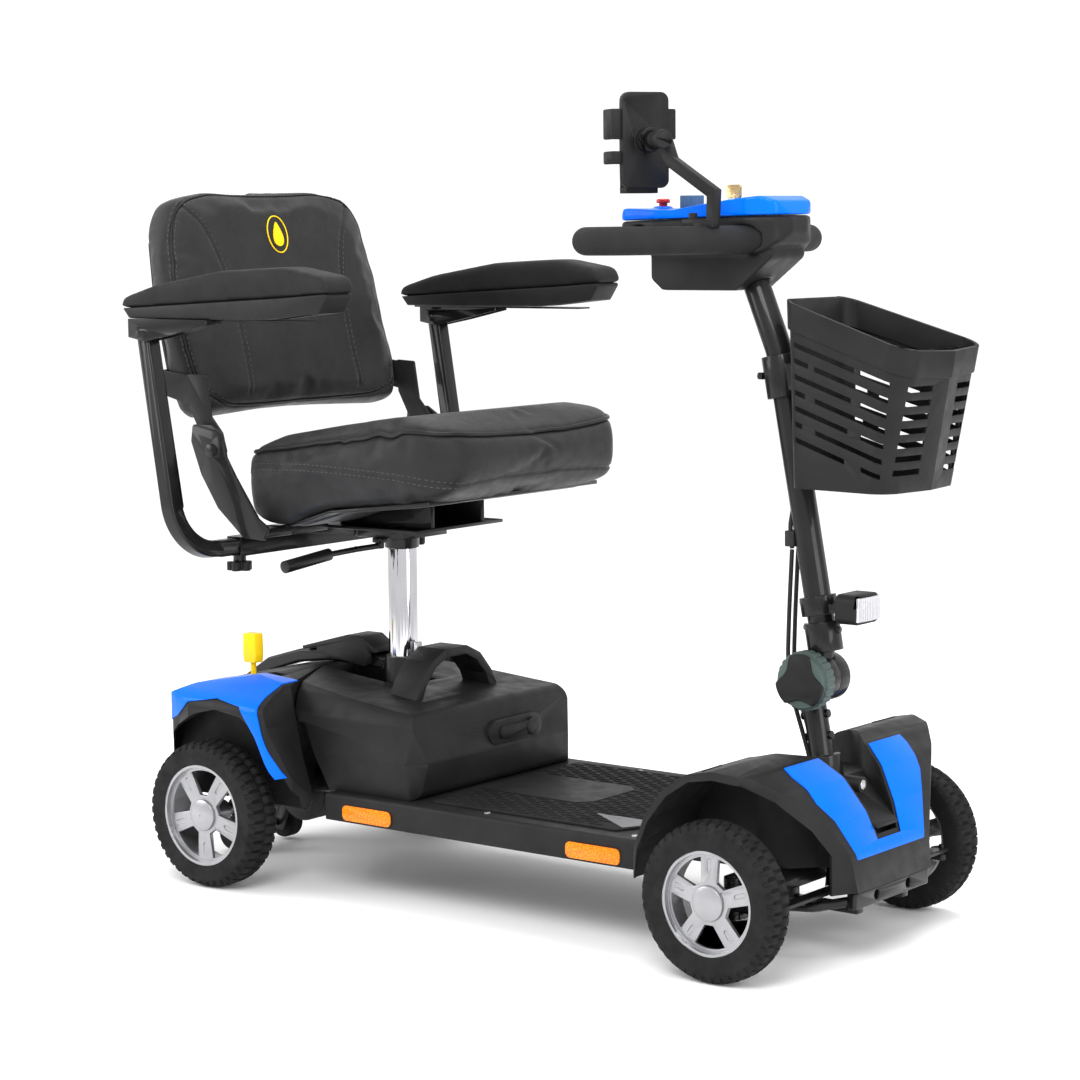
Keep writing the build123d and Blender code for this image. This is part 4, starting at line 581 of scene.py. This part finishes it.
def plate(name, outline, height, thick, body, material):
    """A thin flat piece from its plan."""
    grid = bmesh.new()
    under = [grid.verts.new((x, y, height)) for x, y in outline]
    over = [grid.verts.new((x, y, height + thick)) for x, y in outline]
    grid.faces.new(under[::-1])
    grid.faces.new(over)
    for number in range(len(outline)):
        after = (number + 1) % len(outline)
        grid.faces.new((under[number], under[after], over[after], over[number]))
    bmesh.ops.recalc_face_normals(grid, faces=grid.faces)
    return link(name, mesh_of(grid, name), body, material)


INSET_PLAN = [(640, 0.112), (728, 0.168), (742, 0.144), (738, 0.112)]
for side in (-1, 1):
    plan = [(ahead(x), side * y) for x, y in INSET_PLAN][::side]
    plate("mat_inset_" + ("right" if side < 0 else "left"), plan, MAT_TOP, 0.0009, "frame", "grey_inset")
PAD_PLAN = [(388, -0.07), (570, -0.07), (590, -0.05), (590, 0.05), (570, 0.07), (388, 0.07)]
plate("mat_pad", [(ahead(x), y) for x, y in PAD_PLAN], MAT_TOP, 0.0008, "frame", "deck_black")


KNOB_X, KNOB_Z = ahead(950), 0.381
KNOB_STEPS = 96
KNOB_WAIST = 0.026  # reach of the face between its lobes
KNOB_LOBE = 0.0135  # how much further each lobe reaches


def knob_face():
    """The black three-lobed face of the fold knob."""
    grid = bmesh.new()
    rims = []
    for y, shrink in ((-0.0535, 1.0), (-0.056, 0.99), (-0.0575, 0.94)):
        rim = []
        for step in range(KNOB_STEPS):
            turn = math.tau * step / KNOB_STEPS
            lobe = 0.5 + 0.5 * math.cos(3 * turn)
            reach = (KNOB_WAIST + KNOB_LOBE * min(1.0, lobe * 1.5) ** 1.3) * shrink
            rim.append(grid.verts.new((KNOB_X + reach * math.sin(turn), y, KNOB_Z + reach * math.cos(turn))))
        rims.append(rim)
    for low, high in zip(rims, rims[1:]):
        for step in range(KNOB_STEPS):
            after = (step + 1) % KNOB_STEPS
            grid.faces.new((low[step], low[after], high[after], high[step]))
    grid.faces.new(rims[0])
    grid.faces.new(rims[-1])
    bmesh.ops.recalc_face_normals(grid, faces=grid.faces)
    made = link("knob_face", mesh_of(grid, "knob_face"), "fold_knob", "cover_black")
    smooth_by_angle(made.data, 40)


knob_face()


LAMP_Z = 0.4835


def make_headlight():
    """A clear ribbed lens over a bright reflector, in a black housing."""
    softened("headlight", "lamp", 0.003, material="cover_black")
    ribs = []
    for number in range(15):
        y = -0.028 + 0.004 * number
        bow = 0.003 * (1 - (y / 0.03) ** 2)
        ribs.append((Vector((ahead(1024) + bow, y, LAMP_Z)), (0.011, 0.0024, 0.033), STILL))
    bars("lamp_ribs", ribs, "lamp", "lamp_clear", 0.0006)
    front = [(Vector((ahead(1020), 0, LAMP_Z)), (0.015, 0.062, 0.037), STILL)]
    bars("lamp_lens", front, "lamp", "lamp_clear", 0.004)
    spots = [(Vector((ahead(1028.6), -0.018 + 0.012 * number, 0.487)), (0.003, 0.0035, 0.0045), STILL)
             for number in range(4)]
    bars("lamp_diodes", spots, "lamp", "lever_yellow", 0.0006)


make_headlight()

FENDER_RIB_X = 868  # first rib, forward of the rear axle
FENDER_RIB_PITCH = 24
FENDER_RIB_Y = 0.196  # inner end of each rib


def fender_ribs():
    """Three thin raised ribs across the top of each front fender."""
    tree = tree_of(bpy.data.objects["look_front_cover"])
    for side in (-1, 1):
        end = "right" if side < 0 else "left"
        for number in range(3):
            spots = []
            for step in range(10):
                x = ahead(FENDER_RIB_X + FENDER_RIB_PITCH * number + 0.6 * step)
                start = Vector((x, side * (FENDER_RIB_Y + 0.006 * step), 0.5))
                spot, normal, _, _ = tree.ray_cast(start, Vector((0, 0, -1)))
                if spot and spot.z > 0.2:
                    spots.append(spot + normal * 0.0003)
            if len(spots) > 4:
                name = "fender_rib_%s_%d" % (end, number + 1)
                link(name, tube_mesh(name, spots, 0.0012, 8), BODY_OF["front_cover"], "cover_black")


fender_ribs()

CABLE_LINE = [(908, 558.5), (903, 470), (900, 375), (926, 300), (937, 266)]
for side in (-1, 1):
    name = "right" if side < 0 else "left"
    line = rounded([(ahead(x), side * 0.008, z / 1000) for x, z in CABLE_LINE], False, 3)
    mesh = tube_mesh("cable_" + name, line, 0.0032, 10)
    cable = bpy.data.objects.new("cable_" + name, mesh)
    scene.collection.objects.link(cable)
    cable.data.materials.clear()
    cable.data.materials.append(MATERIALS["cable_black"])
    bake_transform(cable)
    if side > 0:
        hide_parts("lower_cables")
hide_node("lower_cables")


# ---------------------------------------------------------------- padded pieces
CUSHION_PRESSURE = 4.0
SIM_FRAMES = 20


def fitted(mesh, low, high):
    """Scale a mesh to fill a box."""
    spots = np.empty(len(mesh.vertices) * 3)
    mesh.vertices.foreach_get("co", spots)
    spots = spots.reshape(-1, 3)
    least, most = spots.min(0), spots.max(0)
    spots = np.array(low) + (spots - least) * (np.array(high) - np.array(low)) / (most - least)
    mesh.vertices.foreach_set("co", spots.ravel())
    mesh.update()


def stuffed(node, mesh, voxel, rounds, cap, spare=0.003):
    """A padded piece: a closed form rounded over and blown up as cloth, no point moving past the cap."""
    made = link("look_" + node, mesh, BODY_OF[node], SLOT_OF[node])
    low = np.array([v.co for v in mesh.vertices]).min(0)
    high = np.array([v.co for v in mesh.vertices]).max(0)
    remesh = made.modifiers.new("even", "REMESH")
    remesh.mode = "VOXEL"
    remesh.voxel_size = voxel
    apply_modifiers(made)
    evened_out(made.data, rounds)
    fitted(made.data, low + 0.001, high - 0.001)
    made.data.materials.clear()
    made.data.materials.append(MATERIALS[SLOT_OF[node]])
    blow_up(made, cap)
    evened_out(made.data, 6, hold=True)
    fitted(made.data, low - spare, high + spare)
    extra = made.modifiers.new("fine", "SUBSURF")
    extra.levels = 1
    extra.render_levels = 1
    apply_modifiers(made)
    made.data.shade_smooth()
    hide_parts(node)
    hide_node(node)
    return made


def node_mesh(node):
    """A closed copy of a CAD node's surface."""
    grid = bmesh.new()
    grid.from_mesh(frame["nodes"][node].data)
    bmesh.ops.remove_doubles(grid, verts=grid.verts, dist=JOIN)
    return mesh_of(grid, node)


def prism_mesh(name, outline, middle, half):
    """A side outline, in millimetres from the rear axle, given width about the plane y = middle."""
    grid = bmesh.new()
    near = [grid.verts.new((ahead(x), middle - half, z / 1000)) for x, z in outline]
    far = [grid.verts.new((ahead(x), middle + half, z / 1000)) for x, z in outline]
    grid.faces.new(near)
    grid.faces.new(far[::-1])
    for number in range(len(outline)):
        after = (number + 1) % len(outline)
        grid.faces.new((near[number], far[number], far[after], near[after]))
    bmesh.ops.recalc_face_normals(grid, faces=grid.faces)
    return mesh_of(grid, name)


seat = stuffed("seat_cushion", node_mesh("seat_cushion"), 0.006, 26, 0.008)
SEAT_TOP = [(62, 224, 672), (103, 232, 688), (222, 234, 706), (330, 234, 718), (395, 230, 722),
            (432, 214, 716), (450, 170, 714), (456, 80, 716)]
SEAT_SIDE = [(66, 226, 640), (75, 232, 657), (268, 235, 658), (384, 233, 649), (440, 216, 640),
             (456, 160, 636), (460, 60, 636)]
seat_tree = tree_of(seat)


def both_ways(points):
    """A line given on the left, in millimetres from the rear axle, carried across the middle to the right."""
    left = [Vector((ahead(x), y / 1000, z / 1000)) for x, y, z in points]
    return left + [Vector((p.x, -p.y, p.z)) for p in reversed(left)]


spots = on_surface(seat_tree, rounded(both_ways(SEAT_TOP), True))
press_in(seat, spots, 0.003, 0.006)
pipe_on("seat_piping", spots, 0.0032, "seat", 0.0002)
spots = on_surface(seat_tree, rounded(both_ways(SEAT_SIDE), False))
press_in(seat, spots, 0.0022, 0.004)
stitches("seat_side_stitches", seat, spots, 0.0045, "seat")

back = stuffed("back_cushion", node_mesh("back_cushion"), 0.006, 22, 0.008)
LEAN = math.radians(14.6)


def back_point(across, up, forward=0.0):
    """A point on the backrest's front, up its slope from its foot."""
    foot = Vector((ahead(-12), 0, 0.738))
    return foot + Vector((-math.sin(LEAN) * up + math.cos(LEAN) * forward, across,
                          math.cos(LEAN) * up + math.sin(LEAN) * forward))


back_tree = tree_of(back)
for side in (-1, 1):
    name = "right" if side < 0 else "left"
    line = [back_point(side * 0.128, 0.004, 0.03), back_point(side * 0.122, 0.1, 0.03),
            back_point(side * 0.13, 0.2, 0.03), back_point(side * 0.155, 0.28, 0.03),
            back_point(side * 0.196, 0.33, 0.02)]
    spots = on_surface(back_tree, rounded(line, False))
    press_in(back, spots, 0.003, 0.004)
    stitches("back_stitches_" + name, back, spots, 0.005, "backrest")
edge_line = [(0.226, 0.02), (0.238, 0.1), (0.235, 0.2), (0.222, 0.28), (0.19, 0.328), (0.1, 0.344)]
edge_line = [back_point(y, up, -0.006) for y, up in edge_line] + [
    back_point(-y, up, -0.006) for y, up in reversed(edge_line)] + [back_point(-0.12, -0.002, -0.012),
                                                                   back_point(0.12, -0.002, -0.012)]
spots = on_surface(back_tree, rounded(edge_line, True))
press_in(back, spots, 0.0025, 0.004)
stitches("back_edge_stitches", back, spots, 0.005, "backrest")
pipe_on("back_piping", spots, 0.0016, "backrest", -0.0008)


def emblem(name, centre, right, up, tree, body, wide, tall):
    """A plain oval ring and leaf, sewn or stuck on a surface."""
    ring = []
    for step in range(48):
        turn = math.tau * step / 48
        outward = right * wide * math.cos(turn) + up * tall * math.sin(turn)
        spot, normal, _, _ = tree.find_nearest(centre + outward)
        ring.append(spot + normal * 0.0002)
    link(name + "_ring", tube_mesh(name + "_ring", ring, 0.0011, 8, closed=True), body, "emblem_yellow")
    grid = bmesh.new()
    leaf = []
    for step in range(24):
        turn = math.tau * step / 24
        across = 0.42 * wide * math.cos(turn) * (1.1 - 0.6 * math.sin(turn))
        along = 0.66 * tall * math.sin(turn)
        spot, normal, _, _ = tree.find_nearest(centre + right * across + up * along)
        leaf.append(grid.verts.new(spot + normal * 0.0009))
    spot, normal, _, _ = tree.find_nearest(centre)
    middle = grid.verts.new(spot + normal * 0.0012)
    for number in range(24):
        grid.faces.new((middle, leaf[number], leaf[(number + 1) % 24]))
    made = link(name + "_leaf", mesh_of(grid, name + "_leaf"), body, "emblem_yellow")
    thick = made.modifiers.new("thick", "SOLIDIFY")
    thick.thickness = 0.0012
    thick.offset = 0
    apply_modifiers(made)


BACK_UP = back_point(0, 1) - back_point(0, 0)
emblem("back_emblem", back_point(0, 0.27, 0.02), Vector((0, 1, 0)), BACK_UP, back_tree, "backrest", 0.022,
       0.03)

PAD_Y = 0.320  # middle of each arm pad, from the middle of the seat
CHANNEL_TOP = 0.8808  # the channel under each pad ends here, and the tray takes over
PAD_TOP = [(-66, 896), (-56, 913), (9, 930), (134, 949), (263, 955), (340, 943), (351, 923), (345, 919),
           (263, 914)]
PAD_TRAY = [(-64, 895), (263, 913), (347, 919), (349, 915), (333, 891), (232, 881), (90, 880), (-51, 880)]
for side in (-1, 1):
    end = "right" if side < 0 else "left"
    node = "arm_pad_" + end
    stuffed(node, prism_mesh(node, PAD_TOP, side * PAD_Y, 0.030), 0.004, 14, 0.005, 0.0015)
    tray = link("pad_tray_" + end, prism_mesh("pad_tray_" + end, PAD_TRAY, side * PAD_Y, 0.0285),
                "pad_" + end, "cover_black")
    bevel = tray.modifiers.new("edge", "BEVEL")
    bevel.width = 0.004
    bevel.segments = 3
    apply_modifiers(tray)
    smooth_by_angle(tray.data, 40)
    grid = bmesh.new()
    grid.from_mesh(frame["nodes"][node].data)
    bmesh.ops.remove_doubles(grid, verts=grid.verts, dist=JOIN)
    bmesh.ops.bisect_plane(grid, geom=grid.verts[:] + grid.edges[:] + grid.faces[:],
                           plane_co=(0, 0, CHANNEL_TOP), plane_no=(0, 0, 1), clear_outer=True)
    channel = link("pad_channel_" + end, mesh_of(grid, "pad_channel_" + end), "pad_" + end, "frame_black")
    smooth_by_angle(channel.data, 35)

# ---------------------------------------------------------------- floor, light and camera
CAMERA_PLACE = Vector((2.5099, -3.2681, 1.0185))
CAMERA_AZIMUTH = math.radians(38.002)
CAMERA_ELEVATION = math.radians(6.542)
CAMERA_ROLL = math.radians(-0.617)
CAMERA_LENS = 92.77


def add_camera():
    """The camera, low and to the front right."""
    lens = bpy.data.cameras.new("camera")
    lens.lens = CAMERA_LENS
    lens.sensor_width = 36.0
    lens.clip_end = 60.0
    eye = bpy.data.objects.new("camera", lens)
    scene.collection.objects.link(eye)
    back = Vector((math.sin(CAMERA_AZIMUTH) * math.cos(CAMERA_ELEVATION),
                   -math.cos(CAMERA_AZIMUTH) * math.cos(CAMERA_ELEVATION), math.sin(CAMERA_ELEVATION)))
    level = Vector((math.cos(CAMERA_AZIMUTH), math.sin(CAMERA_AZIMUTH), 0))
    upright = back.cross(level)
    right = level * math.cos(CAMERA_ROLL) + upright * math.sin(CAMERA_ROLL)
    up = upright * math.cos(CAMERA_ROLL) - level * math.sin(CAMERA_ROLL)
    eye.matrix_world = Matrix.Translation(CAMERA_PLACE) @ Matrix((right, up, back)).transposed().to_4x4()
    scene.camera = eye


def add_light(name, place, size, power, aim):
    """A soft rectangular studio lamp."""
    lamp = bpy.data.lights.new(name, "AREA")
    lamp.shape = "RECTANGLE"
    lamp.size, lamp.size_y = size
    lamp.energy = power
    holder = bpy.data.objects.new(name, lamp)
    scene.collection.objects.link(holder)
    holder.location = place
    holder.rotation_mode = "QUATERNION"
    holder.rotation_quaternion = (Vector(aim) - Vector(place)).to_track_quat("-Z", "Y")


def add_floor():
    """A plain pale floor."""
    grid = bmesh.new()
    bmesh.ops.create_grid(grid, x_segments=1, y_segments=1, size=30)
    floor = bpy.data.objects.new("floor", mesh_of(grid, "floor"))
    scene.collection.objects.link(floor)
    made = finish_of("floor", (0.92, 0.92, 0.92), (0.94, 0.94, 0.94), (0.7, 0.8), 20, 0.00001, wear=1)
    floor.data.materials.append(made)


def add_world():
    """A bright even surround."""
    world = bpy.data.worlds.new("studio")
    world.use_nodes = True
    world.node_tree.nodes["Background"].inputs["Color"].default_value = (1, 1, 1, 1)
    world.node_tree.nodes["Background"].inputs["Strength"].default_value = 1.12
    scene.world = world


add_camera()
add_floor()
add_world()
LAMPS = (("key", (1.6, -3.0, 3.2), (2.2, 1.6), 110, (0, 0, 0.5)),
         ("fill", (-3.0, -2.2, 1.8), (2.0, 2.0), 55, (0, 0, 0.5)),
         ("front", (3.6, -0.6, 1.6), (1.4, 2.2), 50, (0, 0, 0.5)),
         ("top", (0.0, 0.6, 4.0), (3.0, 2.0), 80, (0, 0, 0)))
for lamp_row in LAMPS:
    add_light(*lamp_row)
scene.view_settings.view_transform = "Standard"
